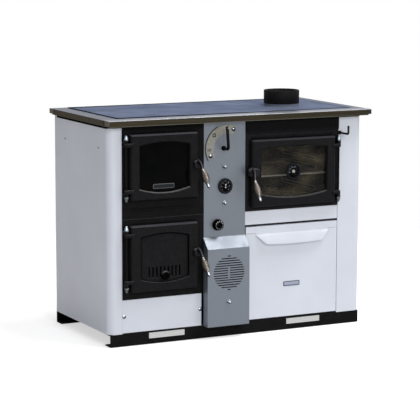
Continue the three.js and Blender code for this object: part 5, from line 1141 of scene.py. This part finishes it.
camera = {"position": (-3307.5, -6489.3, 1550.0), "yaw": 27.0, "pitch": 8.58, "roll": 0.14, "focal": 1877.9,
          "image": 420, "sensor": 36.0, "clip": (0.1, 100)}


def makeCamera(settings):
    # looks along yaw and pitch from its place; the lens is the focal length in pixels carried to the sensor
    yaw, pitch, roll = (math.radians(settings[k]) for k in ("yaw", "pitch", "roll"))
    data = bpy.data.cameras.new("photo_camera")
    data.sensor_width = settings["sensor"]
    data.lens = settings["sensor"] * settings["focal"] / settings["image"]
    data.clip_start, data.clip_end = settings["clip"]
    holder = newObject("photo_camera", data)
    where = Vector((np.array(settings["position"]) + backWay * depthShift) * mm)
    turn = Matrix.Rotation(-yaw, 4, "Z") @ Matrix.Rotation(math.pi / 2 - pitch, 4, "X")
    turn = turn @ Matrix.Rotation(roll, 4, "Z")
    holder.matrix_world = Matrix.Translation(where) @ turn
    bpy.context.scene.camera = holder


makeCamera(camera)

studio = {"ambient": 0.325, "floor": "f1f1f1", "floorLift": 0.56, "fade": (1.3, 2.8),
          "floorDisc": (30000, -2, -4),
          "lamps": {"key": {"at": (-1.0, -6.6, 3.3), "aim": (0, 0, 0.5), "size": 2.8, "power": 172},
                    "top": {"at": (2.3, -1.665, 6.68), "aim": (-0.06, -0.23, 0.37), "size": 3.5,
                            "power": 338}}}


def makeWorld(level):
    # white for what is seen directly, in mirrors and through glass; a softer level lights the object
    world = bpy.data.worlds.new("studio")
    world.use_nodes = True
    world.node_tree.nodes.clear()
    path = addNode(world, "LightPath")
    seen = path.outputs["Is Camera Ray"]
    for ray in ("Is Glossy Ray", "Is Transmission Ray"):
        seen = addNode(world, "Math", {0: seen, 1: path.outputs[ray]}, operation="MAXIMUM")
    strength = addNode(world, "MapRange", {"Value": seen, "To Min": level, "To Max": 1.0})
    sky = addNode(world, "Background", {"Color": (1, 1, 1, 1), "Strength": strength})
    addNode(world, "OutputWorld", {"Surface": sky})
    bpy.context.scene.world = world


def makeFloor(settings):
    # a wide pale disc under the stove; a camera ray sees it lifted to white, with the stove's shadow kept
    points, faces = turned(disc(*settings["floorDisc"]), [0, 0, 0], upWay, 96)
    mesh = bpy.data.meshes.new("floor")
    mesh.from_pydata((points * mm).tolist(), [], faces.tolist())
    floor = newObject("floor", mesh)
    finish = bpy.data.materials.new("pale_studio_floor")
    finish.use_nodes = True
    finish.node_tree.nodes.clear()
    mesh.materials.append(finish)
    direct = addNode(finish, "LightPath").outputs["Is Camera Ray"]
    matt = addNode(finish, "BsdfDiffuse", {"Color": linearColour(settings["floor"])})
    lift = addNode(finish, "Math", {0: direct, 1: settings["floorLift"]}, operation="MULTIPLY")
    glow = addNode(finish, "Emission", {"Color": (1, 1, 1, 1), "Strength": lift})
    both = addNode(finish, "AddShader", {0: matt, 1: glow})
    addNode(finish, "TexCoord")
    away = addNode(finish, "VectorMath", {0: coordsOf(finish)}, operation="LENGTH")
    near, far = settings["fade"]
    fading = addNode(finish, "MapRange", {"Value": away, "From Min": near, "From Max": far},
                     interpolation_type="SMOOTHSTEP")
    white = addNode(finish, "Emission", {"Color": (1, 1, 1, 1), "Strength": 1.0})
    share = addNode(finish, "Math", {0: fading, 1: direct}, operation="MULTIPLY")
    shown = addNode(finish, "MixShader", {0: share, 1: both, 2: white})
    addNode(finish, "OutputMaterial", {"Surface": shown})


def makeLamps(lamps):
    for name, lamp in lamps.items():
        data = bpy.data.lights.new(name, "AREA")
        data.shape, data.size, data.energy = "DISK", lamp["size"], lamp["power"]
        holder = newObject(name, data)
        holder.location = lamp["at"]
        holder.rotation_euler = (Vector(lamp["aim"]) - Vector(lamp["at"])).to_track_quat("-Z", "Y").to_euler()


makeWorld(studio["ambient"])
makeFloor(studio)
makeLamps(studio["lamps"])
bpy.context.scene.view_settings.view_transform = "Standard"
print("camera, floor and lamps made")
